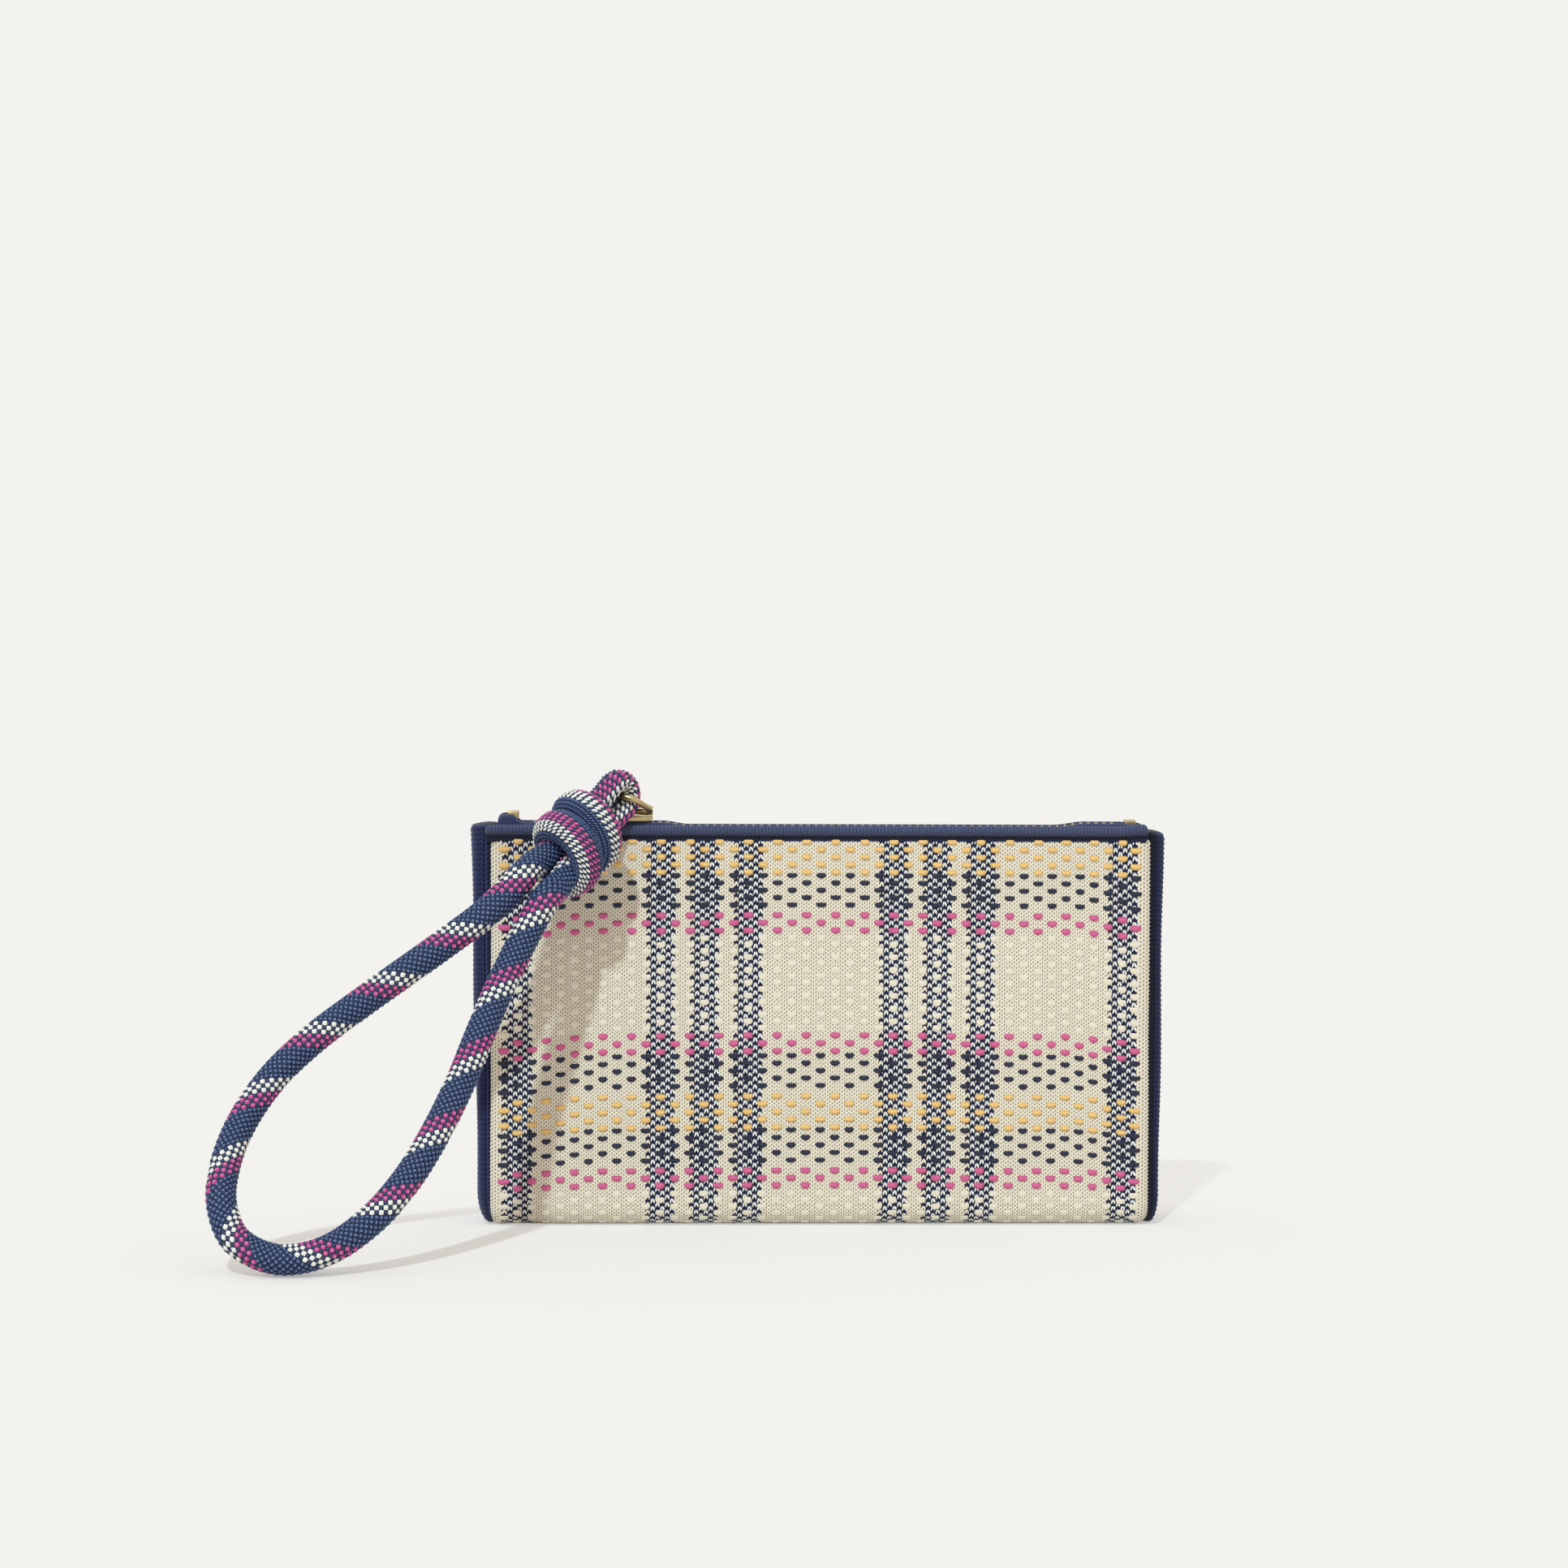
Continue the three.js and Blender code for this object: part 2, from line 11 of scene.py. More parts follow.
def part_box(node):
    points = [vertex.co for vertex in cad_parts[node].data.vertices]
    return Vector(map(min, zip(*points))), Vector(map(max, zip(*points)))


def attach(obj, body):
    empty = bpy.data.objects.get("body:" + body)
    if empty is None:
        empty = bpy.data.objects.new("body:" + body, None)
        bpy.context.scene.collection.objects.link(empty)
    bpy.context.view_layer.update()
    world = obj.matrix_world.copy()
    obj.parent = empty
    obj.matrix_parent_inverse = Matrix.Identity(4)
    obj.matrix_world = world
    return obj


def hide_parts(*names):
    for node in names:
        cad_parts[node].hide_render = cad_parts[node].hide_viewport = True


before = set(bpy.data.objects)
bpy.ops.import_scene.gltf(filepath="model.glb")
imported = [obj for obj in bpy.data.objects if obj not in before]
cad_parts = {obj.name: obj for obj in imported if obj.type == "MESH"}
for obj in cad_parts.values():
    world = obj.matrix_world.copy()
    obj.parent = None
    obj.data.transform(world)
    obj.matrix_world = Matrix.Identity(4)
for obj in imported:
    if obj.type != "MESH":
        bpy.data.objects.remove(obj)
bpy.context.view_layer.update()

bl_info = {
    "name": "Zip wristlet",
    "version": (1, 0, 0),
    "blender": (4, 5, 0),
    "location": "View3D > Sidebar > Wristlet",
    "description": "Knits, braids and stages a zip wristlet around its packed solids",
    "category": "Object",
}

MM = 0.001

# The pouch's own measures, in millimetres, as in the part's source.
PANEL_WIDTH = 198.0
POUCH_HEIGHT = 120.0
BASE_DEPTH = 28.0
TOP_DEPTH = 14.0
FOLD_RADIUS = 6.0
KNIT = 2.0
STIFFENER = 0.8
SEAM_GAP = 0.3
RIM_HEIGHT = 3.5
RIM_PROUD = 0.8
GUSSET_BULGE_TOP = 6.0
GUSSET_BULGE_FOOT = 4.0
GUSSET_CORNER = 9.5
TAPE = 0.6
TAPE_SEWN = 13.0
TAPE_END_INSET = 1.5
TAPE_TAIL = 3.0
CHAIN_Z = POUCH_HEIGHT + 0.5
CHAIN_WIDTH = 4.6
STOP_LENGTH = 3.4
POST_WIDTH = 0.8
SLIDER_X = -56.0
BRIDGE_SHIFT = 1.3
PIVOT_HEIGHT = 3.2
RING_LENGTH = 12.0
RING_WIDTH = 11.0
RING_CORNER = 3.5
RING_WIRE = 1.8
RING_TILT = math.radians(27)

# The strap's own measures, in millimetres, as in the part's source.
STRAP_YAW = math.radians(50)
STRAP_DROP = math.radians(32)
KNOT_DISTANCE = 23.0
WRAP_TURNS = 1.85
WRAP_PITCH = 10.0
WRAP_START = math.radians(320)
WRAP_RADIUS = 8.4
KNOT_FOOT = 39.35
LEG_APART = 4.9
LEG_STRAIGHT = 7.4
LEG_TWIST = math.radians(-41)
FLOOR_CLEAR = 4.75

# The loop's route: across and forward from the knot's foot, and height as a share of the knot's.
LOOP_ROUTE = [
    (-17, -9.5, 0.906), (-29.5, -13.5, 0.819), (-40.5, -17, 0.746), (-54, -20.5, 0.656),
    (-67.5, -25, 0.561), (-78.5, -29.5, 0.462), (-87, -36, 0.347), (-91.5, -44, 0.235), (-92, -51.5, 0.14),
    (-87.5, -57, 0.05), (-76, -59.5, 0.002), (-62.5, -58.5, 0.022), (-50, -54.5, 0.097),
    (-40, -48.5, 0.197), (-31.5, -40.5, 0.321), (-24.5, -32, 0.451), (-18, -23, 0.597), (-11, -14.5, 0.744),
]

# The check, counted in courses down from the rim: a group's first row, step, rows, yarn and stagger.
FLOAT_GROUPS = [
    (0.48, 1.96, 5, "yellow", 0), (9.16, 1.893, 5, "navy", 1), (19.37, 1.952, 3, "pink", 0),
    (25.22, 1.645, 15, "cream", 1), (50.19, 2.012, 3, "pink", 0), (55.44, 1.903, 5, "navy", 1),
    (65.75, 1.982, 5, "yellow", 0), (74.4, 1.92, 5, "navy", 1), (84.7, 1.88, 3, "pink", 0),
    (90.5, 1.66, 15, "cream", 1),
]
BAND_STARTS = (12, 21, 30, 60)
BAND_WALES = 6
FLOAT_WALES = 6
PANEL_COURSES = 94
KNIT_WALES = 136
BASE_COURSES = 29


# Settings


def linear(red, green, blue):
    """A colour in everyday 0 to 255 values as Blender's linear light."""
    shares = (value / 255 for value in (red, green, blue))
    return tuple(c / 12.92 if c <= 0.04045 else ((c + 0.055) / 1.055) ** 2.4 for c in shares)


class KnitSettings(bpy.types.PropertyGroup):
    """The knit of the panels, rim and gussets."""

    wale: bpy.props.FloatProperty(
        name="Wale", description="Width of one column of stitches", default=1.475 * MM, unit="LENGTH")
    relief: bpy.props.FloatProperty(
        name="Relief", description="Height of a stitch over the gap beside it",
        default=0.34 * MM, unit="LENGTH")
    fullness: bpy.props.FloatProperty(
        name="Fullness", description="How far the panels' middles swell out",
        default=1.4 * MM, unit="LENGTH")
    sag: bpy.props.FloatProperty(
        name="Sag", description="How far the rows drop beside the side seams",
        default=2.2 * MM, unit="LENGTH")
    cream: bpy.props.FloatVectorProperty(
        name="Cream", description="Ground yarn", subtype="COLOR", default=linear(240, 231, 209))
    white: bpy.props.FloatVectorProperty(
        name="White", description="Pale yarn of the bands", subtype="COLOR", default=linear(246, 246, 238))
    navy: bpy.props.FloatVectorProperty(
        name="Navy", description="Dark yarn of the bands, rim and gussets", subtype="COLOR",
        default=linear(38, 46, 86))
    yellow: bpy.props.FloatVectorProperty(
        name="Yellow", description="Warm floats", subtype="COLOR", default=linear(239, 196, 120))
    pink: bpy.props.FloatVectorProperty(
        name="Pink", description="Pink floats", subtype="COLOR", default=linear(212, 96, 145))


class RopeSettings(bpy.types.PropertyGroup):
    """The braided rope of the strap."""

    diameter: bpy.props.FloatProperty(
        name="Diameter", description="Over the tops of the strands", default=9.2 * MM, unit="LENGTH")
    lay: bpy.props.FloatProperty(
        name="Lay", description="Length of one turn of a strand", default=24.8 * MM, unit="LENGTH")
    relief: bpy.props.FloatProperty(
        name="Relief", description="Height of a strand over the gap beside it",
        default=0.6 * MM, unit="LENGTH")
    strands: bpy.props.IntProperty(
        name="Strands", description="Strands that wind each way", default=13, min=6)
    navy: bpy.props.FloatVectorProperty(
        name="Navy", description="Ground yarn", subtype="COLOR", default=linear(38, 59, 97))
    white: bpy.props.FloatVectorProperty(
        name="White", description="Pale spiral", subtype="COLOR", default=linear(246, 245, 234))
    pink: bpy.props.FloatVectorProperty(
        name="Pink", description="Pink spiral", subtype="COLOR", default=linear(204, 74, 148))


class ZipSettings(bpy.types.PropertyGroup):
    """The zip's metal and tape, and the lining."""

    tooth_pitch: bpy.props.FloatProperty(
        name="Tooth pitch", description="From one tooth of a row to the next",
        default=2.35 * MM, unit="LENGTH")
    brass: bpy.props.FloatVectorProperty(
        name="Brass", description="Teeth, slider and ring", subtype="COLOR", default=linear(208, 186, 138))
    tape: bpy.props.FloatVectorProperty(
        name="Tape", description="Woven tape", subtype="COLOR", default=linear(38, 48, 88))
    lining: bpy.props.FloatVectorProperty(
        name="Lining", description="Woven lining", subtype="COLOR", default=linear(48, 58, 106))


class StageSettings(bpy.types.PropertyGroup):
    """Floor, light and camera."""

    backdrop: bpy.props.FloatVectorProperty(
        name="Backdrop", description="Floor and background", subtype="COLOR", default=linear(243, 242, 238))
    key: bpy.props.FloatProperty(
        name="Key", description="Strength of the lamp at the upper left", default=1.75, min=0)
    key_spread: bpy.props.FloatProperty(
        name="Key spread", description="Angle over which the lamp is seen", default=math.radians(2.5),
        subtype="ANGLE")
    key_tint: bpy.props.FloatVectorProperty(
        name="Key tint", description="Colour of the lamp", subtype="COLOR", default=(0.745, 0.895, 0.985))
    fill: bpy.props.FloatProperty(
        name="Fill", description="Strength of the light from all round", default=0.70, min=0)
    fill_tint: bpy.props.FloatVectorProperty(
        name="Fill tint", description="Colour of the light from all round", subtype="COLOR",
        default=(1.0, 0.912, 0.857))
    lens: bpy.props.FloatProperty(
        name="Lens", description="Focal length on a 36 mm sensor, in millimetres", default=121.2,
        unit="CAMERA")


# Materials


class Value:
    """A shader socket that takes part in expressions; each one adds its Math node."""

    def __init__(self, finish, socket):
        self.finish = finish
        self.socket = socket

    def math(self, operation, *others, clamp=False):
        inputs = dict(enumerate((self, *others)))
        return self.finish.node("ShaderNodeMath", {"operation": operation, "use_clamp": clamp}, inputs)

    def __add__(self, other):
        return self.math("ADD", other)

    def __sub__(self, other):
        return self.math("SUBTRACT", other)

    def __rsub__(self, other):
        return self.finish.node("ShaderNodeMath", {"operation": "SUBTRACT"}, {0: other, 1: self})

    def __mul__(self, other):
        return self.math("MULTIPLY", other)

    def __pow__(self, other):
        return self.math("POWER", other)

    def __abs__(self):
        return self.math("ABSOLUTE")

    def sine(self):
        return self.math("SINE")

    def fraction(self):
        return self.math("FRACT")

    def clipped(self):
        return self.math("ADD", 0.0, clamp=True)


class Finish:
    """A material, or the world, whose nodes are written as expressions."""

    def __init__(self, owner):
        owner.use_nodes = True
        self.owner = owner
        self.tree = owner.node_tree
        self.surface = self.tree.nodes.get("Principled BSDF")

    def node(self, kind, settings=None, inputs=None, output=0):
        made = self.tree.nodes.new(kind)
        for name, value in (settings or {}).items():
            setattr(made, name, value)
        for name, value in (inputs or {}).items():
            self.feed(made.inputs[name], value)
        return Value(self, made.outputs[output])

    def feed(self, socket, value):
        if isinstance(value, Value):
            self.tree.links.new(value.socket, socket)
        elif socket.type == "RGBA" and len(value) == 3:
            socket.default_value = (*value, 1)
        else:
            socket.default_value = value

    def mix(self, share, first, second):
        return self.node("ShaderNodeMix", {"data_type": "RGBA"}, {0: share, 6: first, 7: second}, 2)

    def tones(self, share, colour, low, high):
        """From `low` to `high` of a colour's light."""
        return self.mix(share, shade(colour, low), shade(colour, high))

    def place(self):
        return self.node("ShaderNodeTexCoord", output="Object")

    def axes(self, vector):
        parts = self.node("ShaderNodeSeparateXYZ", None, {0: vector})
        return [Value(self, socket) for socket in parts.socket.node.outputs]

    def noise(self, scale, detail=2.0, stretch=(1, 1, 1)):
        """Noise of about `scale` grains to the millimetre."""
        sized = self.node("ShaderNodeVectorMath", {"operation": "MULTIPLY"},
                          {0: self.place(), 1: tuple(scale / MM * s for s in stretch)})
        return self.node("ShaderNodeTexNoise", None, {"Vector": sized, "Scale": 1.0, "Detail": detail})

    def attribute(self, name):
        return self.node("ShaderNodeAttribute", {"attribute_name": name}, None, "Fac")

    def strand(self):
        """Across and along a strand, each from -1 to 1."""
        across, along, _ = self.axes(self.node("ShaderNodeUVMap", {"uv_map": "strand"}))
        return across * 2 - 1, along * 2 - 1

    def bump(self, height, depth, strength):
        normal = self.node("ShaderNodeBump", None,
                           {"Height": height, "Distance": depth * MM, "Strength": strength})
        self.feed(self.surface.inputs["Normal"], normal)

    def set(self, **values):
        sockets = {socket.name.lower(): socket for socket in self.surface.inputs}
        for name, value in values.items():
            self.feed(sockets[name.replace("_", " ")], value)
        return self.owner


def new_finish(name):
    return Finish(bpy.data.materials.new(name))


def shade(colour, share):
    return tuple(share * c for c in colour)


def paler(colour, gain, lift):
    return tuple(gain * c + lift for c in colour)


def knit_yarn(name, colour, gap_yarn_and_shade, open_share):
    """Matte yarn whose gaps between stitches take a second colour, wider with `open_share`: painted shade, or
    for the white yarn the navy yarn behind it.
    """
    yarn = new_finish(name)
    painted_shade_mask = yarn.attribute("painted_shade_mask")
    patches = yarn.noise(0.09)
    fibres = yarn.noise(4.0, 3.0)
    lit = yarn.mix(fibres * 0.35, yarn.tones(patches, colour, 0.95, 1.04), shade(colour, 0.8))
    yarn.bump(fibres, 0.09, 0.6)
    # Painted shade: where the shade mask is low, the gap colour replaces the yarn's.
    return yarn.set(base_color=yarn.mix((painted_shade_mask * (1 / open_share) - 0.25).clipped(), gap_yarn_and_shade, lit),
                    roughness=fibres * 0.15 + 0.78, sheen_weight=0.2, sheen_roughness=0.5,
                    specular_ior_level=0.25)


def float_yarn(name, colour, edge_shade=0.45):
    """Soft yarn lying across the knit, with its filaments along it and its edges in shade."""
    yarn = new_finish(name)
    across, along = yarn.strand()
    filaments = (across * 9 + along * 1.5).sine()
    fibres = yarn.noise(3.0, 3.0, (0.3, 1, 1))
    edge = (1.15 - across * across).clipped()
    lit = yarn.tones(fibres, colour, 0.84, 1.08)
    yarn.bump(filaments * 0.35 + fibres, 0.1, 0.7)
    return yarn.set(base_color=yarn.mix(edge ** 0.5, shade(colour, edge_shade), lit),
                    roughness=fibres * 0.2 + 0.6, sheen_weight=0.25, sheen_roughness=0.4)


def rope_yarn(name, colour, ground, rounded, pale):
    """Slightly glossy braiding yarn with painted `pale` glints, and painted shade in the gaps between
    strands, where a rounded strand shows the ground at its corners.
    """
    yarn = new_finish(name)
    across, along = yarn.strand()
    filaments = (across * 11).sine()
    fibres = yarn.noise(2.2, 3.0)
    reach = across ** 4 + (along * 0.96) ** 4
    # Painted highlight: a glint along the middle of each strand.
    glint = (1 - across * across * 5).clipped() * (1 - along * along * 1.6).clipped()
    # In both kinds the gap colour is the ground yarn darkened as painted shade.
    if rounded:
        lit = yarn.tones(fibres, colour, 0.86, 1.1)
        lit = yarn.mix((filaments * 0.5 + 0.5) * 0.3, lit, shade(colour, 0.72))
        lit = yarn.mix(glint * 0.7, lit, pale)
        seen = ((1.1 - reach) * 4).clipped()
        gap = shade(ground, 0.25)
    else:
        lit = yarn.mix(glint * 0.85, yarn.tones(fibres, colour, 0.74, 0.98), pale)
        seen = ((1.0 - reach) * 1.5).clipped()
        gap = shade(ground, 0.12)
    yarn.bump(filaments * 0.6 + fibres, 0.07, 0.6)
    return yarn.set(base_color=yarn.mix(seen, gap, lit), roughness=fibres * 0.2 + 0.38,
                    sheen_weight=0.1 if rounded else 0.02, sheen_roughness=0.4, specular_ior_level=0.3)


def woven(name, colour, pitch, herringbone, low=0.62, high=1.15, painted_shading=False):
    """Plain or herringbone cloth, from `low` to `high` of its colour; with `painted_shading` set, shade is
    painted in where the shade mask is low.
    """
    cloth = new_finish(name)
    x, y, z = cloth.axes(cloth.place())
    run = (y + z) * (1 / (pitch * MM))
    lean = abs((run * (1 / 6)).fraction() - 0.5) * 12 if herringbone else run
    warp = (x * (math.tau / (pitch * MM)) + lean * math.pi).sine()
    weft = (run * math.tau).sine()
    fibres = cloth.noise(2.5)
    weave = (warp * weft * 0.5 + fibres * 1.2 - 0.1).clipped()
    cloth.bump(weave + fibres * 0.4, 0.12, 0.8)
    tone = cloth.tones(weave, colour, low, high)
    if painted_shading:
        # Painted shade, darker where the shade mask is low.
        tone = cloth.mix(cloth.attribute("painted_shade_mask"), shade(colour, 0.15), tone)
    return cloth.set(base_color=cloth.mix(fibres * 0.4, tone, shade(colour, 0.8)),
                     roughness=fibres * 0.2 + 0.65, sheen_weight=0.2, sheen_roughness=0.4)


def felt(name, colour):
    """Pressed interlining with loose fibres."""
    sheet = new_finish(name)
    fibres = sheet.noise(1.2, 6.0, (1, 1, 0.4))
    sheet.bump(fibres, 0.15, 0.8)
    return sheet.set(base_color=sheet.tones(fibres, colour, 0.8, 1.05), roughness=fibres * 0.1 + 0.88)


def satin_brass(name, colour):
    """Brushed brass, a little duller and darker in patches."""
    metal = new_finish(name)
    patches = metal.noise(0.35, 3.0)
    brushing = metal.noise(6.0, 2.0, (0.08, 1, 1))
    metal.bump(brushing, 0.01, 0.4)
    tone = metal.tones(patches, colour, 0.72, 1.06)
    return metal.set(base_color=metal.mix(brushing * 0.3, tone, shade(colour, 0.7)), metallic=1.0,
                     roughness=patches * 0.18 + brushing * 0.1 + 0.2)


# Meshes


def link(name, data):
    made = bpy.data.objects.new(name, data)
    bpy.context.scene.collection.objects.link(made)
    return made


def make_piece(name, points, faces, finishes, finish_of=(), strand=(), painted_shade_mask=None):
    """A smooth mesh from points in millimetres; `faces` is arrays of corners, each of one size.

    Faces that `finish_of` does not reach have the first finish, and their corners lie mid-strand.
    """
    mesh = bpy.data.meshes.new(name)
    corners = np.concatenate([np.asarray(group, np.int32).ravel() for group in faces])
    sizes = np.concatenate([np.full(len(group), np.shape(group)[1], np.int32) for group in faces])
    mesh.vertices.add(points.size // 3)
    mesh.vertices.foreach_set("co", (np.asarray(points, np.float32) * MM).ravel())
    mesh.loops.add(len(corners))
    mesh.loops.foreach_set("vertex_index", corners)
    mesh.polygons.add(len(sizes))
    mesh.polygons.foreach_set("loop_start", np.concatenate([[0], np.cumsum(sizes)[:-1]]).astype(np.int32))
    for finish in finishes:
        mesh.materials.append(finish)
    chosen = np.zeros(len(sizes), np.int32)
    chosen[:len(finish_of)] = finish_of
    mesh.polygons.foreach_set("material_index", chosen)
    if len(strand):
        spots = np.full((len(corners), 2), 0.5, np.float32)
        spots[:len(strand)] = strand
        mesh.uv_layers.new(name="strand").data.foreach_set("uv", spots.ravel())
    if painted_shade_mask is not None:
        marks = np.asarray(painted_shade_mask, np.float32).ravel()
        mesh.attributes.new("painted_shade_mask", "FLOAT", "POINT").data.foreach_set("value", marks)
    mesh.update(calc_edges=True)
    mesh.validate()
    mesh.shade_smooth()
    return link(name, mesh)


def grid_faces(rows, columns, closed_rows=False, closed_columns=False):
    """Quads over a grid of rows x columns points."""
    r = np.arange(rows if closed_rows else rows - 1)
    c = np.arange(columns if closed_columns else columns - 1)
    r, c = np.meshgrid(r * columns, c, indexing="ij")
    r2, c2 = (r + columns) % (rows * columns), (c + 1) % columns
    return np.stack([r + c, r + c2, r2 + c2, r2 + c], -1).reshape(-1, 4)


def repeat_faces(faces, points, copies):
    """The faces of `copies` shapes, one after another, of so many `points` each."""
    return np.vstack([faces + k * points for k in range(copies)])


def tube_piece(name, rings, finishes, flip, finish_of=(), painted_shade_mask=None):
    """A closed tube through rings of points, with flat ends; `flip` turns its faces over."""
    count, around = rings.shape[:2]
    c = np.arange(around)
    faces = [grid_faces(count, around, closed_columns=True), np.stack([c[::-1], (count - 1) * around + c])]
    if flip:
        faces = [group[:, ::-1] for group in faces]
    return make_piece(name, rings, faces, finishes, finish_of, painted_shade_mask=painted_shade_mask)


# Faces that meet under the first angle are one flat face, and edges over the second are rounded.
FLAT_ANGLE = math.radians(2)
SHARP_ANGLE = math.radians(25)

# How far the edges of the felt, the stops, the slider's plates and its arch are rounded.
FELT_EDGE = 0.25
STOP_EDGE = 0.28
PLATE_EDGE = 0.22
ARCH_EDGE = 0.3


def softened(node, name, width, finish):
    """A copy of a rigid solid with its flat faces whole and its edges rounded."""
    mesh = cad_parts[node].data.copy()
    mesh.name = name
    shape = bmesh.new()
    shape.from_mesh(mesh)
    bmesh.ops.remove_doubles(shape, verts=shape.verts, dist=1e-6)
    bmesh.ops.dissolve_limit(shape, angle_limit=FLAT_ANGLE, verts=shape.verts, edges=shape.edges)
    sharp = [edge for edge in shape.edges if edge.is_manifold and edge.calc_face_angle() > SHARP_ANGLE]
    bmesh.ops.bevel(shape, geom=sharp, offset=width * MM, segments=3, profile=0.6, affect="EDGES",
                    clamp_overlap=True)
    shape.to_mesh(mesh)
    shape.free()
    mesh.materials.clear()
    mesh.materials.append(finish)
    mesh.shade_smooth()
    made = link(name, mesh)
    weighted = made.modifiers.new("flat faces", "WEIGHTED_NORMAL")
    weighted.keep_sharp = True
    return made


def seat(made, body, slot, *nodes):
    """The piece rides a body and stands for its solids, which it hides; `slot` is not used."""
    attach(made, body)
    if nodes:
        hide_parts(*nodes)


def smooth_step(low, high, value):
    share = np.clip((value - low) / (high - low), 0, 1)
    return share * share * (3 - 2 * share)


def rounding(value, end, size):
    """From 1 down to 0.2 over the last `size` before `end`, as most of a quarter round."""
    return np.sqrt(1 - np.clip((value - end + size) / size, 0, 0.98) ** 2)


# Lines and frames along them


def smooth_line(points, step):
    """Evenly spaced points on the centripetal curve through `points`."""
    p = np.asarray(points, float)
    p = np.vstack([2 * p[0] - p[1], p, 2 * p[-1] - p[-2]])
    dense = []
    for a, b, c, d in zip(p, p[1:], p[2:], p[3:]):
        k0, k1, k2 = (math.sqrt(np.linalg.norm(v)) for v in (b - a, c - b, d - c))
        m1 = ((b - a) / k0 - (c - a) / (k0 + k1) + (c - b) / k1) * k1
        m2 = ((c - b) / k1 - (d - b) / (k1 + k2) + (d - c) / k2) * k1
        t = np.linspace(0, 1, 60, endpoint=False)[:, None]
        dense.append(b + m1 * t + (3 * (c - b) - 2 * m1 - m2) * t ** 2 + (2 * (b - c) + m1 + m2) * t ** 3)
    dense = np.vstack([*dense, p[-2]])
    run = np.concatenate([[0], np.cumsum(np.linalg.norm(np.diff(dense, axis=0), axis=1))])
    spots = np.arange(0, run[-1], step)
    return np.stack([np.interp(spots, run, dense[:, k]) for k in range(3)], -1)


def turned_frames(line, facing):
    """Two side directions along a line, the first as near `facing` as it can be."""
    tangents = np.gradient(line, axis=0)
    tangents /= np.linalg.norm(tangents, axis=1)[:, None]
    sides = facing - tangents * (facing * tangents).sum(1)[:, None]
    sides /= np.linalg.norm(sides, axis=1)[:, None]
    return sides, np.cross(tangents, sides)


# Braided rope


# Points along a side of a cell, strands in a coloured spiral, and the lower strands' share of the height.
CELL = 4
STRIPE = 3
UNDER = 0.8

TO_FRONT = np.array([0.0, -1.0, 0.0])

# The loop's ends in the knot: along and apart from its foot, how much thinner and over which share.
HIDDEN_LEGS = ((-11, 3.4), (-5, 4.2))
PINCH = 0.14
PINCH_SHARE = 0.055

# Half-widths of the knot's turns, and how far their ends go in, on round and along.
WRAP_HALVES = (4.5, 5.6)
TUCK_IN = 0.62
TUCK_TURN = 1.5
TUCK_ALONG = 2.5

# Half-widths of the bend round the ring, its legs' points along the strap, and how they draw together.
BEND_HALVES = (3.5, 4.2)
BEND_LEGS = np.array([16.0, 11.0, 6.5, 3.0])
BEND_DRAW = 0.05


def pillow(across, along):
    """Height of a strand over its crossing, from 0 at the edges to 1 in the middle."""
    return np.cos(math.pi * across).clip(0) ** 0.6 * np.cos(math.pi * along).clip(0) ** 0.4


def braid(name, route, rope, finishes, facing, halves, pinch, strands, lay, lead, white_at):
    """A braided piece along a route, and its centre line.

    Strands of both hands cross at the cells of a slanted grid. `facing` gives the side the spirals are
    counted from, `halves` the two half-widths and `pinch` the share they lose at the ends. Each of the
    `strands` of a hand turns once in `lay`. The two spirals turn once in `lead`, and the white one
    faces out at `white_at`.
    """
    step = lay / (2 * strands * CELL)
    line = smooth_line(route, step)
    rings, around = len(line), strands * CELL
    side, other = turned_frames(line, facing(line))
    share = np.linspace(0, 1, rings)
    full = smooth_step(0, PINCH_SHARE, share) * smooth_step(1, 1 - PINCH_SHARE, share)
    half = np.multiply.outer(1 - pinch * (1 - full), halves)
    ring = np.arange(rings)[:, None]
    slant = 2 * np.arange(around)[None, :] + ring % 2
    p, q = (ring - slant) // 2, (ring + slant) // 2
    i, j = p // CELL, q // CELL
    a, b = p / CELL - i - 0.5, q / CELL - j - 0.5
    over = (i + j) % 2 == 0
    depth = rope.relief / MM * (1 - np.where(over, pillow(a, b), UNDER * pillow(b, a)))
    angle = math.pi * slant / around + math.tau * (1 / lead - 1 / lay) * step * ring
    points = (line[:, None]
              + side[:, None] * ((half[:, :1] - depth) * np.cos(angle))[..., None]
              + other[:, None] * ((half[:, 1:] - depth) * np.sin(angle))[..., None])

    r, t = np.meshgrid(np.arange(rings - 2), np.arange(around), indexing="ij")
    odd = r % 2
    quads = np.stack([r * around + t, (r + 1) * around + (t + odd) % around, (r + 2) * around + t,
                      (r + 1) * around + (t + odd - 1) % around], -1).reshape(-1, 4)
    p, q, i, j, over = (part[:-2] for part in (p, q, i, j, over))
    colour = (i + round(STRIPE / 2 - strands * white_at / lead)) % strands
    # Lower cells among the coloured spirals take finish 3, navy painted darker as shade.
    finish = np.where(colour < 2 * STRIPE, np.where(over, 1 + colour // STRIPE, 3), 0)
    corner_p = np.stack([p, p, p + 1, p + 1], -1) / CELL - i[..., None]
    corner_q = np.stack([q, q + 1, q + 1, q], -1) / CELL - j[..., None]
    first, second = np.where(over[..., None], (corner_p, corner_q), (corner_q, corner_p))
    strand = np.stack([first, second], -1).reshape(-1, 2)

    t = np.arange(around)
    after = (t + 1) % around
    last = (rings - 1) * around
    start = np.stack([t, after, around + t], -1)
    end = np.stack([last + after, last + t, last - around + (t + (rings - 1) % 2) % around], -1)
    caps = np.stack([t[::-1], last + t])
    return make_piece(name, points, [quads, start, end, caps], finishes, finish.ravel(), strand), line


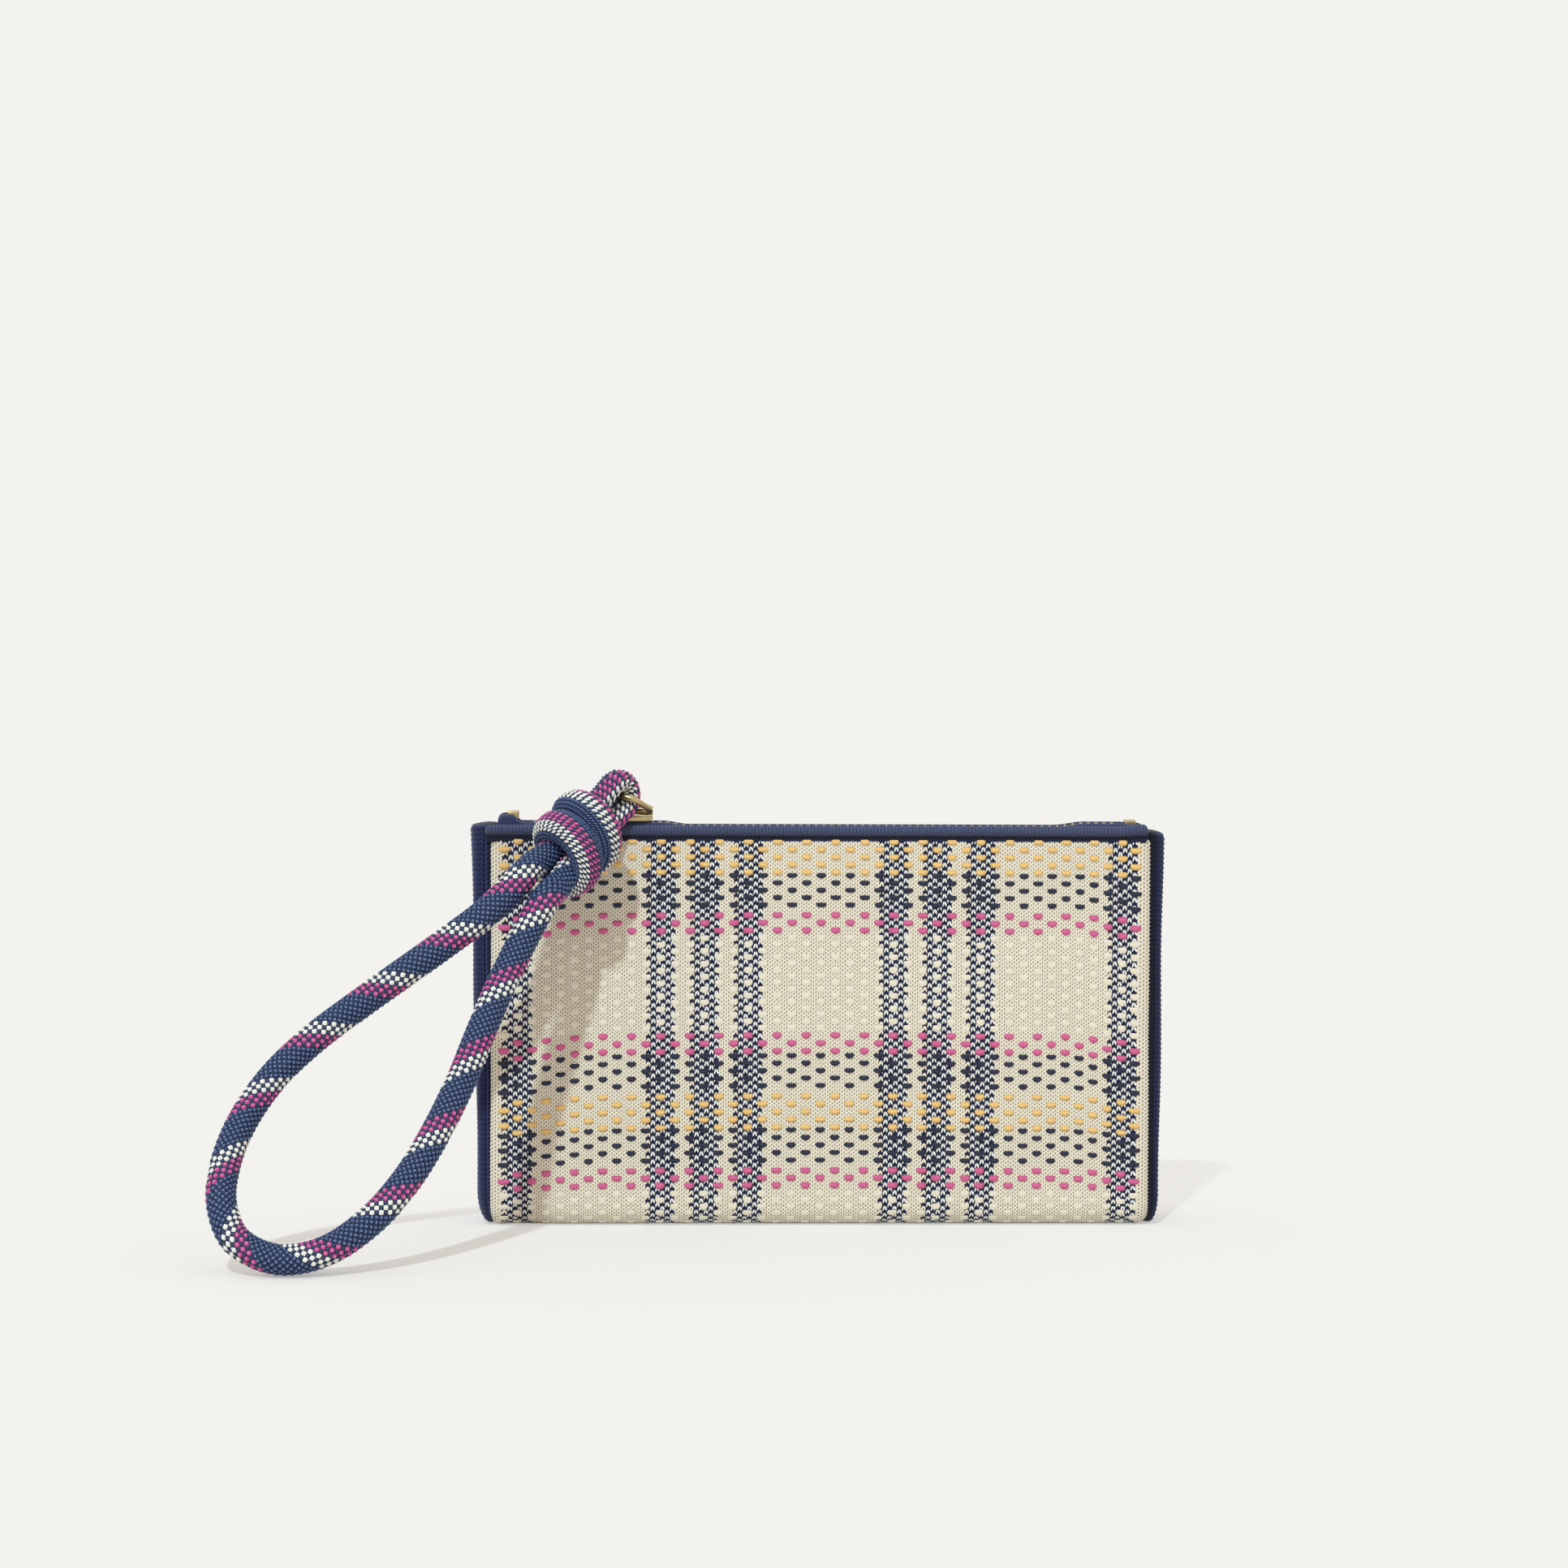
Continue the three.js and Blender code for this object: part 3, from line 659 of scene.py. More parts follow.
class StrapFrame:
    """The strap's own axes: its origin in the ring's far wire, X down to the knot."""

    def __init__(self):
        level = np.array([-math.cos(STRAP_YAW), -math.sin(STRAP_YAW), 0])
        up = np.array([0, 0, 1.0])
        self.pivot = np.array([SLIDER_X + BRIDGE_SHIFT, 0, CHAIN_Z + PIVOT_HEIGHT])
        self.ring_along = math.cos(RING_TILT) * level + math.sin(RING_TILT) * up
        self.origin = self.pivot + RING_LENGTH * self.ring_along
        self.down = math.cos(STRAP_DROP) * level - math.sin(STRAP_DROP) * up
        self.across = np.cross(up, level)
        self.out = np.cross(self.down, self.across)

    def at(self, x, y, z):
        return (self.origin + np.multiply.outer(x, self.down) + np.multiply.outer(y, self.across)
                + np.multiply.outer(z, self.out))

    def away(self, points, start=-math.inf):
        """From the strap's X axis, which begins at `start`, straight out to each point."""
        out = points - self.origin
        return out - np.multiply.outer(np.clip(out @ self.down, start, None), self.down)


class WRISTLET_OT_strap(bpy.types.Operator):
    """Braids the wrist loop, its knot and the bend round the pull ring"""

    bl_idname = "wristlet.strap"
    bl_label = "Rope strap"

    def execute(self, context):
        rope = context.scene.wristlet_rope
        axes = StrapFrame()
        navy, white, pink = tuple(rope.navy), tuple(rope.white), tuple(rope.pink)
        # Each finish's last colour is its painted glint; the rope shade finish is navy painted darker, as
        # shade on the lower cells among the spirals.
        finishes = [rope_yarn("rope navy", navy, navy, False, paler(navy, 3.6, 0.13)),
                    rope_yarn("rope white", white, navy, True, paler(white, 0.7, 0.3)),
                    rope_yarn("rope pink", pink, navy, True, paler(pink, 0.7, 0.3)),
                    rope_yarn("rope shade", shade(navy, 0.6), navy, True, paler(navy, 1.5, 0.02))]
        full, lay = rope.diameter / MM / 2, rope.lay / MM
        loop, line = braid("strap_loop", self.loop_route(axes), rope, finishes, lambda points: TO_FRONT,
                           (full, full), PINCH, strands=rope.strands, lay=lay, lead=lay, white_at=16.8)
        seat(loop, "strap", "rope", "strap_wrist_loop")
        knot, _ = braid("strap_knot", self.knot_route(axes), rope, finishes, axes.away, WRAP_HALVES, 0,
                        strands=24, lay=36, lead=346, white_at=32)
        seat(knot, "strap", "rope", "strap_knot_wraps", "strap_knot_core")
        bight, _ = braid("strap_bend", self.bend_route(axes), rope, finishes,
                         lambda points: axes.away(points, 0), BEND_HALVES, 0,
                         strands=rope.strands, lay=32, lead=300, white_at=-80)
        seat(bight, "strap", "rope", "strap_top_bight")
        return {"FINISHED"}

    def loop_route(self, axes):
        """Out of the knot, round the free loop and back into the knot."""
        side = math.cos(LEG_TWIST) * axes.across + math.sin(LEG_TWIST) * axes.out
        foot = axes.at(KNOT_FOOT, 0, 0)
        free = [(foot[0] + x, foot[1] + y, FLOOR_CLEAR + share * (foot[2] - FLOOR_CLEAR))
                for x, y, share in LOOP_ROUTE]
        legs = (*HIDDEN_LEGS, (0, LEG_APART), (LEG_STRAIGHT, LEG_APART))
        there, back = ([axes.at(KNOT_FOOT + reach, 0, 0) + sign * apart * side for reach, apart in legs]
                       for sign in (-1, 1))
        return [*there, *free, *back[::-1]]

    def knot_route(self, axes):
        """Turns round the strap's axis, their ends tucked in."""
        turns = np.linspace(-0.5, 0.5, 80)
        angle = math.tau * WRAP_TURNS * turns + WRAP_START
        along = KNOT_DISTANCE + WRAP_PITCH * WRAP_TURNS * turns
        tuck = np.linspace(0.25, 1, 4)
        inward = WRAP_RADIUS * (1 - TUCK_IN * tuck)

        def wound(along, radius, angle):
            return axes.at(along, -radius * np.cos(angle), radius * np.sin(angle))

        start = wound(along[0] + TUCK_ALONG * tuck, inward, angle[0] - TUCK_TURN * tuck)[::-1]
        end = wound(along[-1] - TUCK_ALONG * tuck, inward, angle[-1] + TUCK_TURN * tuck)
        return [*start, *wound(along, WRAP_RADIUS, angle), *end]

    def bend_route(self, axes):
        """Out of the knot, half round the ring's far wire and back."""
        radius = RING_WIRE / 2 + SEAM_GAP + BEND_HALVES[0]
        turn = np.linspace(math.pi / 2, 1.5 * math.pi, 9)
        apart = radius - BEND_DRAW * BEND_LEGS
        return [*axes.at(BEND_LEGS, 0 * BEND_LEGS, apart),
                *axes.at(radius * np.cos(turn), 0 * turn, radius * np.sin(turn)),
                *axes.at(BEND_LEGS[::-1], 0 * BEND_LEGS, -apart[::-1])]


# Knit


# A stitch's four columns are gap, leg, middle, leg: their lean, and the heights of its two rows.
LEG_SHIFT = np.array([-0.42, 0.0, 0.34, 0.0])
STITCH_HEIGHT = np.array([[0.0, 0.4, 0.0, 0.4], [0.1, 1.0, 0.3, 1.0]])
GROUND_HEIGHT = np.array([[0.0, 0.7, 0.0, 0.7], [0.75, 1.0, 0.8, 1.0]])

# How far the edges' loops stand out, and the sheet's back from the stitches' tops.
EDGE_LOOP = 0.3
KNIT_BACK = 0.6 - KNIT

# How the rows lie: where they start to drop, left and right, their rise in the middle and its reach,
# the height of the ripples, and the depth and width of the tuck at the side seams.
SAG_FROM_LEFT = 62
SAG_FROM_RIGHT = 72
MIDDLE_RISE = 0.5
RISE_REACH = (65, 5)
RIPPLE = 0.22
SEAM_TUCK = 1.7
SEAM_TUCK_WIDTH = 2.6

# How the wales lie: drawn in to a share of their width, moved to the left, drawn in over a reach on
# each side, and pushed out at the right and left edges.
WALES_DRAWN = 0.9855
WALES_LEFT = 0.6
SIDE_DRAW = 0.9
SIDE_REACH = (55, 93)
RIGHT_PUSH = 1.1
RIGHT_PUSH_FROM = 96.5
LEFT_PUSH_FROM = 95


def stitches(wales, courses):
    """Row and column numbers of a knit's points, with each point's lean and height."""
    row, column = np.meshgrid(np.arange(2 * courses + 1), np.arange(4 * wales + 1), indexing="ij")
    return row, column, LEG_SHIFT[column % 4], STITCH_HEIGHT[row % 2, column % 4]


def half_depth(z):
    return (BASE_DEPTH + (TOP_DEPTH - BASE_DEPTH) * z / POUCH_HEIGHT) / 2


PANEL_TOP = POUCH_HEIGHT - RIM_HEIGHT - SEAM_GAP
FOLD_CENTRE = half_depth(FOLD_RADIUS) - FOLD_RADIUS
SLOPE = math.hypot(1, (BASE_DEPTH - TOP_DEPTH) / 2 / POUCH_HEIGHT)
FRONT_LENGTH = (PANEL_TOP - FOLD_RADIUS) * SLOPE
FOLD_LENGTH = FOLD_RADIUS * math.pi / 2
BASE_LENGTH = 2 * FOLD_LENGTH + 2 * FOLD_CENTRE
COURSE = FRONT_LENGTH / PANEL_COURSES
BASE_COURSE = BASE_LENGTH / BASE_COURSES
ALL_COURSES = 2 * PANEL_COURSES + BASE_COURSES


def sheet_line(course):
    """Place and outward direction in Y and Z, `course` courses down from the front rim."""
    down = np.clip(course, -2, PANEL_COURSES) * COURSE
    under = np.clip(course - PANEL_COURSES, 0, BASE_COURSES) * BASE_COURSE
    up = np.clip(course - PANEL_COURSES - BASE_COURSES, 0, PANEL_COURSES + 2) * COURSE
    flat = np.clip(under - FOLD_LENGTH, 0, 2 * FOLD_CENTRE)
    turn = (under - flat) / FOLD_RADIUS
    behind = up > 0
    below = (under > 0) & ~behind
    side = np.where(behind, 1, -1)
    z = np.where(behind, FOLD_RADIUS + up / SLOPE, PANEL_TOP - down / SLOPE)
    y = np.where(below, flat - FOLD_CENTRE - FOLD_RADIUS * np.cos(turn), side * half_depth(z))
    z = np.where(below, FOLD_RADIUS - FOLD_RADIUS * np.sin(turn), z)
    ny = np.where(below, -np.cos(turn), side / SLOPE)
    nz = np.where(below, -np.sin(turn), half_depth(0) - half_depth(1))
    return y, z, ny, nz


def lay_knit(knit, x, course, height):
    """Points on the pouch's outer knit, `height` millimetres out of its stitches' tops."""
    half = KNIT_WALES / 2 * knit.wale / MM
    reach = np.abs(x)
    panel = np.clip(np.minimum(course, ALL_COURSES - course), 0, PANEL_COURSES)
    middle = np.sin(math.pi * panel / PANEL_COURSES).clip(0)
    slack = np.where(panel > PANEL_COURSES / 2, middle ** 0.5, middle)
    edge = smooth_step(np.where(x < 0, SAG_FROM_LEFT, SAG_FROM_RIGHT), half, reach)
    sag = (knit.sag / MM * edge - MIDDLE_RISE * smooth_step(*RISE_REACH, reach)) / COURSE * slack
    y, z, ny, nz = sheet_line(course + np.where(course > ALL_COURSES / 2, -sag, sag))
    swell = knit.fullness / MM * middle ** 0.7 * (1 - (x / half) ** 2)
    ripple = RIPPLE * middle * np.sin(x / 15 + 0.09 * course) * np.cos(x / 41 - 0.05 * course)
    tucked = SEAM_TUCK * np.clip((reach - half + SEAM_TUCK_WIDTH) / SEAM_TUCK_WIDTH, 0, 1) ** 2
    out = height + swell + ripple - tucked
    settled = WALES_DRAWN * x - WALES_LEFT - SIDE_DRAW * np.sign(x) * smooth_step(*SIDE_REACH, reach)
    settled = settled + RIGHT_PUSH * smooth_step(RIGHT_PUSH_FROM, half, x)
    settled = settled - smooth_step(LEFT_PUSH_FROM, half, -x)
    return np.stack([settled, y + ny * out, z + nz * out], -1)


def in_band(wale):
    """Whether a wale, counted from the middle, lies in a dark band."""
    away = np.where(wale >= 0, wale, -1 - wale)
    inside = np.zeros(np.shape(wale), bool)
    for start in BAND_STARTS:
        inside |= (away >= start) & (away < start + BAND_WALES)
    return inside


def knit_panel(name, knit, finishes, first_course, courses):
    """A closed sheet of the check knit over some courses of the pouch's round."""
    row, column, lean, height = stitches(KNIT_WALES, courses)
    wale = column // 4 - KNIT_WALES // 2
    banded = in_band(wale) & in_band(wale - 1)
    height = np.where(banded, height, GROUND_HEIGHT[row % 2, column % 4])
    edge = (column == 4 * KNIT_WALES) * 1 - (column == 0)
    x = (column / 4 - KNIT_WALES / 2) * (knit.wale / MM) + EDGE_LOOP * edge * (row % 2)
    course = first_course + row / 2
    outer = lay_knit(knit, x, course - lean, knit.relief / MM * (height - 1))
    ends = [-1, 0]
    inner = lay_knit(knit, x[:, ends], course[:, ends], KNIT_BACK)
    dark = in_band(wale) & ((wale + first_course + row // 2) % 2 == 0)
    finish = np.pad(np.where(dark, 2, banded)[:-1, :-1], ((0, 0), (0, 3)))
    # The stitch heights also serve as the mask for painted shade: lower means darker.
    painted_shade_mask = np.pad(height, ((0, 0), (0, 2)))
    return tube_piece(name, np.concatenate([outer, inner], 1), finishes, True, finish.ravel(), painted_shade_mask)


class WRISTLET_OT_panels(bpy.types.Operator):
    """Knits the front, base and back of the pouch in the check pattern"""

    bl_idname = "wristlet.panels"
    bl_label = "Check knit"

    def execute(self, context):
        knit = context.scene.wristlet_knit
        dark = shade(tuple(knit.navy), 0.6)
        # The second colour of each yarn is painted shade in its gaps; for the white yarn it is the navy yarn
        # behind it.
        finishes = [knit_yarn("cream knit", tuple(knit.cream), linear(96, 78, 58), 0.5),
                    knit_yarn("white knit", tuple(knit.white), dark, 0.36),
                    knit_yarn("navy knit", dark, shade(dark, 0.35), 0.5)]
        panels = (("front_knit", "front_panel", 0, PANEL_COURSES),
                  ("base_knit", "base_panel", PANEL_COURSES, BASE_COURSES),
                  ("back_knit", "back_panel", PANEL_COURSES + BASE_COURSES, PANEL_COURSES))
        for name, node, first, courses in panels:
            seat(knit_panel(name, knit, finishes, first, courses), "pouch", "plaid_knit", node)
        return {"FINISHED"}


# Floats: short lengths of coloured yarn that lie across the stitches


# Each yarn's half-length and half-width, and how far it stands out.
FLOAT_YARNS = ("cream", "yellow", "navy", "pink")
FLOAT_SIZES = np.array([(1.42, 1.15, 0.22), (1.64, 1.15, 1.0), (1.64, 1.0, 1.0), (1.62, 1.22, 1.0)])

# How near a side floats lie, how far past that one is still drawn in, and how much their sizes vary.
FLOAT_MARGIN = 2.2
FLOAT_OVERHANG = 0.7
FLOAT_WANDER = 0.08

# A float's upper edge against its lower one, its sunken ends, the rise of its arch, and its slant.
FLOAT_UPPER = 0.62
FLOAT_SUNK = 0.3
FLOAT_RISE = 0.95
FLOAT_SLANT = 0.12

# The share of the base's fold that the panels' floats go round.
FOLD_SHARE = 0.75


def float_places(knit, first_course, last_course, mirrored):
    """Across, course and yarn of every float on one panel."""
    pitch = FLOAT_WALES * knit.wale / MM
    reach = PANEL_WIDTH / 2 - FLOAT_MARGIN
    count = int(PANEL_WIDTH / pitch)
    places = []
    for first, step, rows, yarn, stagger in FLOAT_GROUPS:
        for k in range(rows):
            course = first + step * k
            if mirrored:
                course = ALL_COURSES - course
            offset = 0 if (k + stagger) % 2 else pitch / 2
            spots = offset + pitch * np.arange(-count, count + 1)
            if first_course <= course < last_course:
                places += [(np.clip(x, -reach, reach), course, FLOAT_YARNS.index(yarn))
                           for x in spots if abs(x) <= reach + FLOAT_OVERHANG]
    return np.array(places)


def float_piece(name, knit, finishes, places):
    """Floats at their places, each a low arch that narrows to its ends."""
    along, across = np.meshgrid(np.linspace(-1, 1, 9), np.linspace(-1, 1, 6))
    ends = (1 - np.abs(along) ** 3).clip(0) ** 0.5
    over = -FLOAT_UPPER * (1 - np.abs(along) ** 6).clip(0) ** 0.5
    under = (1 - np.abs(along) ** 2.6).clip(0) ** 0.6
    drop = over + (under - over) * (across + 1) / 2
    rise = -FLOAT_SUNK + FLOAT_RISE * np.sqrt(1 - 0.98 * across ** 2) * ends
    count = len(places)
    yarn = places[:, 2].astype(int)
    side = 1 if places[0, 1] < ALL_COURSES / 2 else -1
    x, course = places[:, :2].T[..., None, None]
    width, tall, proud = FLOAT_SIZES[yarn].T[..., None, None]
    wander = FLOAT_WANDER * np.sin(12.9 * np.arange(count)[:, None, None] + 78.2 * x)
    down = drop * tall * (1 - wander) + FLOAT_SLANT * wander * along
    points = lay_knit(knit, x + along * width * (1 + wander), course + side * down / COURSE, rise * proud)
    shape = grid_faces(*along.shape)[:, ::-side]
    spot = np.stack([across + 1, along + 1], -1).reshape(-1, 2) / 2
    strand = np.tile(spot[shape].reshape(-1, 2), (count, 1))
    return make_piece(name, points, [repeat_faces(shape, along.size, count)], finishes,
                      np.repeat(yarn, len(shape)), strand)


class WRISTLET_OT_floats(bpy.types.Operator):
    """Lays the coloured floats of yarn across the panels"""

    bl_idname = "wristlet.floats"
    bl_label = "Yarn floats"

    def execute(self, context):
        knit = context.scene.wristlet_knit
        finishes = [float_yarn("cream float", shade(tuple(knit.cream), 0.93), 0.85),
                    float_yarn("yellow float", tuple(knit.yellow)),
                    float_yarn("navy float", shade(tuple(knit.navy), 0.42)),
                    float_yarn("pink float", tuple(knit.pink))]
        reach = PANEL_COURSES + FOLD_LENGTH * FOLD_SHARE / BASE_COURSE
        front = float_places(knit, 0, reach, False)
        back = float_places(knit, ALL_COURSES - reach, ALL_COURSES, True)
        seat(float_piece("front_floats", knit, finishes, front), "pouch", "plaid_knit")
        seat(float_piece("back_floats", knit, finishes, back), "pouch", "plaid_knit")
        return {"FINISHED"}


# Rim and gussets


# The rims' stitches, their ends, and how far they reach below their solids.
RIM_WALES = 166
RIM_COURSES = 14
RIM_LEFT = -PANEL_WIDTH / 2 - 2.4
RIM_RIGHT = PANEL_WIDTH / 2 - 1.1
RIM_BELOW = 1.5

# The groove's depth, level and width, and the level over which the woven edging lies, with its relief.
GROOVE = 0.5
GROOVE_LEVEL = -0.36
GROOVE_WIDTH = 0.13
EDGING_LEVEL = -0.3
EDGING_RELIEF = 0.3

# By side, front at -1: the rim's rise over the mouth, how much more at its right end, and from where.
RIM_RISE = {-1: (0.35, 0.6, 89), 1: (-0.7, 0.5, 60)}
RIM_RISE_END = 95

# The rounding at the ends of the rims and the tops of the gussets.
END_ROUND = 1.5

# The gussets' stitches, their relief against the panels', their lift over the seam, how far they lie
# inside the panels' faces, and how far they wander.
GUSSET_WALES = 12
GUSSET_COURSES = 80
GUSSET_RELIEF = 1.5
GUSSET_LIFT = 0.35
GUSSET_INSIDE = 0.5
GUSSET_WANDER = 0.25

# By side, right at 1: what the gusset keeps below the mouth, stands out at its foot and gains by its top.
GUSSET_FIT = {1: (1.6, -0.55, -1.4), -1: (-0.3, 0.15, 0.5)}

# By side, how narrow the tuck at the gusset's seams is, and its depth along X and along Y.
GUSSET_TUCK = {1: 5, -1: 9}
TUCK_X = 2.4
TUCK_Y = 1.8


class WRISTLET_OT_rims(bpy.types.Operator):
    """Rolls the navy knit rims along the mouth"""

    bl_idname = "wristlet.rims"
    bl_label = "Rolled rims"

    def execute(self, context):
        knit = context.scene.wristlet_knit
        navy = tuple(knit.navy)
        # Painted highlight and shade: the rim knit is navy painted twice as light, with painted shade in its
        # gaps; the woven edging takes painted shade from its mask.
        finishes = [knit_yarn("rim knit", shade(navy, 2.0), shade(navy, 0.12), 1.0),
                    woven("rim weave", linear(60, 69, 102), 1.05, True, 0.15, 2.1, True)]
        for name, node, sign in (("front_rolled_rim", "front_rim", -1), ("back_rolled_rim", "back_rim", 1)):
            seat(self.rim(name, knit, finishes, sign), "pouch", "navy_knit", node)
        return {"FINISHED"}

    def rim(self, name, knit, finishes, sign):
        """An upper roll of woven edging over a narrow knitted roll, with a groove between them."""
        row, column, lean, height = (part[:-1].T for part in stitches(RIM_WALES, RIM_COURSES))
        middle, reach = (RIM_LEFT + RIM_RIGHT) / 2, (RIM_RIGHT - RIM_LEFT) / 2
        x = (column / 4 - RIM_WALES / 2) * (2 * reach / RIM_WALES) + middle
        rise, more, start = RIM_RISE[sign]
        rise = rise + more * smooth_step(start, RIM_RISE_END, x)
        foot = POUCH_HEIGHT - RIM_HEIGHT - RIM_BELOW
        thick = (KNIT + RIM_PROUD) / 2
        tall = (POUCH_HEIGHT + rise - foot) / 2
        centre = half_depth(POUCH_HEIGHT) - KNIT + thick
        turn = math.tau * (row / 2 + lean) / RIM_COURSES
        square = (np.abs(np.cos(turn)) ** 3 + np.abs(np.sin(turn)) ** 3) ** (-1 / 3)
        level = square * np.sin(turn)
        groove = np.exp(-((level - GROOVE_LEVEL) / GROOVE_WIDTH) ** 2) * (np.cos(turn) > 0)
        upper = smooth_step(-0.4, 1.0, level)
        edging = level > EDGING_LEVEL
        close = rounding(np.abs(x - middle), reach, END_ROUND)
        out = knit.relief / MM * (height - 1) * np.where(edging, EDGING_RELIEF, 1.0)
        out = out - GROOVE * (groove + (1 - upper) ** 2 * edging)
        y = centre + (thick * close + out) * square * np.cos(turn)
        z = foot + tall + (tall * close + out) * level
        # Painted shade: the woven edging darker down its roll towards the groove, and the knit darker in the
        # groove and in its stitches' gaps.
        painted_shade_mask = np.where(edging, upper ** 0.6, height * (1 - 0.9 * groove))
        return tube_piece(name, np.stack([x, sign * y, z], -1), finishes, sign < 0, edging[:-1].ravel(), painted_shade_mask)


class WRISTLET_OT_gussets(bpy.types.Operator):
    """Knits the half-round navy strips that close the pouch's sides"""

    bl_idname = "wristlet.gussets"
    bl_label = "Side gussets"

    def execute(self, context):
        knit = context.scene.wristlet_knit
        navy = tuple(knit.navy)
        # Painted highlight and shade: the gusset knit is navy painted 3.1 times as light, with painted shade
        # in its gaps.
        finishes = [knit_yarn("gusset knit", shade(navy, 3.1), shade(navy, 0.12), 0.9)]
        for side, sign in (("right", 1), ("left", -1)):
            strip = self.gusset(side + "_side_knit", knit, finishes, sign)
            seat(strip, "pouch", "navy_knit", side + "_gusset")
        return {"FINISHED"}

    def gusset(self, name, knit, finishes, sign):
        """A half-round strip, rounded at its foot and top and tucked in at its seams."""
        row, column, lean, height = stitches(GUSSET_WALES, GUSSET_COURSES)
        below, foot_out, gain = GUSSET_FIT[sign]
        low, high = SEAM_GAP + GUSSET_LIFT, POUCH_HEIGHT - below
        z = np.clip(low + (high - low) * (row / 2 + lean) / GUSSET_COURSES, low, high)
        turn = math.pi * column / (4 * GUSSET_WALES)
        foot = np.sqrt(1 - (1 - np.minimum(z / GUSSET_CORNER, 1)) ** 2)
        top = rounding(z, high, END_ROUND)
        bulge = GUSSET_BULGE_FOOT + (GUSSET_BULGE_TOP - GUSSET_BULGE_FOOT + gain) * z / POUCH_HEIGHT
        bulge = (bulge + foot_out) * foot * (0.2 + 0.8 * top)
        fold = FOLD_CENTRE + np.sqrt(FOLD_RADIUS ** 2 - np.clip(FOLD_RADIUS - z, 0, None) ** 2)
        half = (np.where(z < FOLD_RADIUS, fold, half_depth(z)) - GUSSET_INSIDE) * (0.6 + 0.4 * top)
        wander = GUSSET_WANDER * np.sin(z / 11 + 2 * turn + sign) * np.sin(turn)
        out = GUSSET_RELIEF * knit.relief / MM * (height - 1)
        tucked = (1 - np.sin(turn)) ** GUSSET_TUCK[sign]
        x = PANEL_WIDTH / 2 + (bulge + wander + out) * np.sin(turn) ** 0.6 - TUCK_X * tucked
        y = -(half + out - TUCK_Y * tucked) * np.sign(np.cos(turn)) * np.abs(np.cos(turn)) ** 0.6
        # Painted shade in the tucked seams of the right gusset, on top of the shade in its gaps.
        painted_shade_mask = height * (1 - 0.95 * np.minimum(2 * tucked, 1)) if sign > 0 else height
        return tube_piece(name, np.stack([sign * x, y, z], -1), finishes, sign < 0, painted_shade_mask=painted_shade_mask)


# Inside


# How far the lining's two faces lie in from its solid, the thickness of its ends and floor, and the
# height of its folds and where they begin.
LINING_OUTER = 0.3
LINING_INNER = 0.7
LINING_END = 0.6
LINING_FLOOR = 0.5
LINING_FOLD = 0.3
FOLDS_FROM = 20


class WRISTLET_OT_inside(bpy.types.Operator):
    """Makes the lining bag and the interlining behind the panels"""

    bl_idname = "wristlet.inside"
    bl_label = "Lining"

    def execute(self, context):
        settings = context.scene.wristlet_zip
        cloth = woven("lining cloth", tuple(settings.lining), 0.45, False)
        seat(self.lining("lining_bag", cloth), "pouch", "lining", "lining")
        board = felt("interlining felt", linear(201, 198, 189))
        for side in ("front", "back"):
            layer = softened(side + "_stiffener", side + "_interlining", FELT_EDGE, board)
            seat(layer, "pouch", "felt", side + "_stiffener")
        return {"FINISHED"}

    def lining(self, name, cloth):
        """A thin bag that hangs with slight folds from its open mouth."""
        low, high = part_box("lining")
        low, high = np.array(low) / MM, np.array(high) / MM
        levels = np.concatenate([[0.0], np.linspace(0.03, 1, 26) ** 1.1])
        z = low[2] + (high[2] - low[2]) * levels
        inset = KNIT + STIFFENER + 2 * SEAM_GAP
        share = np.clip((z - low[2]) / (FOLD_RADIUS - low[2]), 0, 1)
        corner = FOLD_CENTRE + (half_depth(FOLD_RADIUS) - inset - FOLD_CENTRE) * share
        half = np.where(z < FOLD_RADIUS, corner, half_depth(z) - inset)
        x, y = np.meshgrid(np.linspace(low[0], high[0], 121), np.concatenate([-half[::-1], half[1:]]),
                           indexing="ij")
        z = np.broadcast_to(np.concatenate([z[::-1], z[1:]]), x.shape)
        folds = LINING_FOLD * np.sin(x / 4.1 + z / 19) * np.sin(x / 13.7)
        folds = folds * smooth_step(FOLDS_FROM, high[2], z)
        outer = np.stack([x, y - np.sign(y) * (LINING_OUTER + folds), z], -1)
        inner = np.stack([x * (1 - LINING_END / high[0]), y - np.sign(y) * (LINING_INNER + folds),
                          z + LINING_FLOOR * (np.abs(z - low[2]) < 1)], -1)
        rows, columns = x.shape
        far = 2 * columns * (rows - 1)
        walls = np.arange(2 * columns).reshape(2, columns)
        mouth = np.array([[2 * columns - 1, 0, columns - 1, columns]])
        faces = [grid_faces(rows, 2 * columns, closed_columns=True),
                 walls[:, ::-1], far + walls, mouth[:, ::-1], far + mouth]
        return make_piece(name, np.concatenate([outer, inner[:, ::-1]], 1), faces, [cloth])


# Zip


# The radius of the tape's roll and of its corners, and the heights of its flat part.
TAPE_ROLL = 1.5
TAPE_CORNER = 2.4
TAPE_LEVELS = (POUCH_HEIGHT - TAPE_SEWN, 114, 117.5)

# The inner edge of the tape and the flat stretch beside it.
TAPE_EDGE = CHAIN_WIDTH / 2 - 0.4
TAPE_FLAT = 0.5

# The heights from which a corner rounds off and over which the tape follows the zip's rise.
CORNER_FROM = 116.5
FOLLOW = (112, 119)

# The ridge on the tape's roll: its place in Y, the heights it starts over, and its rise at the front,
# with a slight wave, and at the back.
RIDGE_PLACE = (3.85, 4.3)
RIDGE_HEIGHTS = (117, CHAIN_Z + TAPE / 2 - 0.8)
FRONT_RIDGE = 0.15
FRONT_WAVE = 0.1
BACK_RIDGE = -0.5

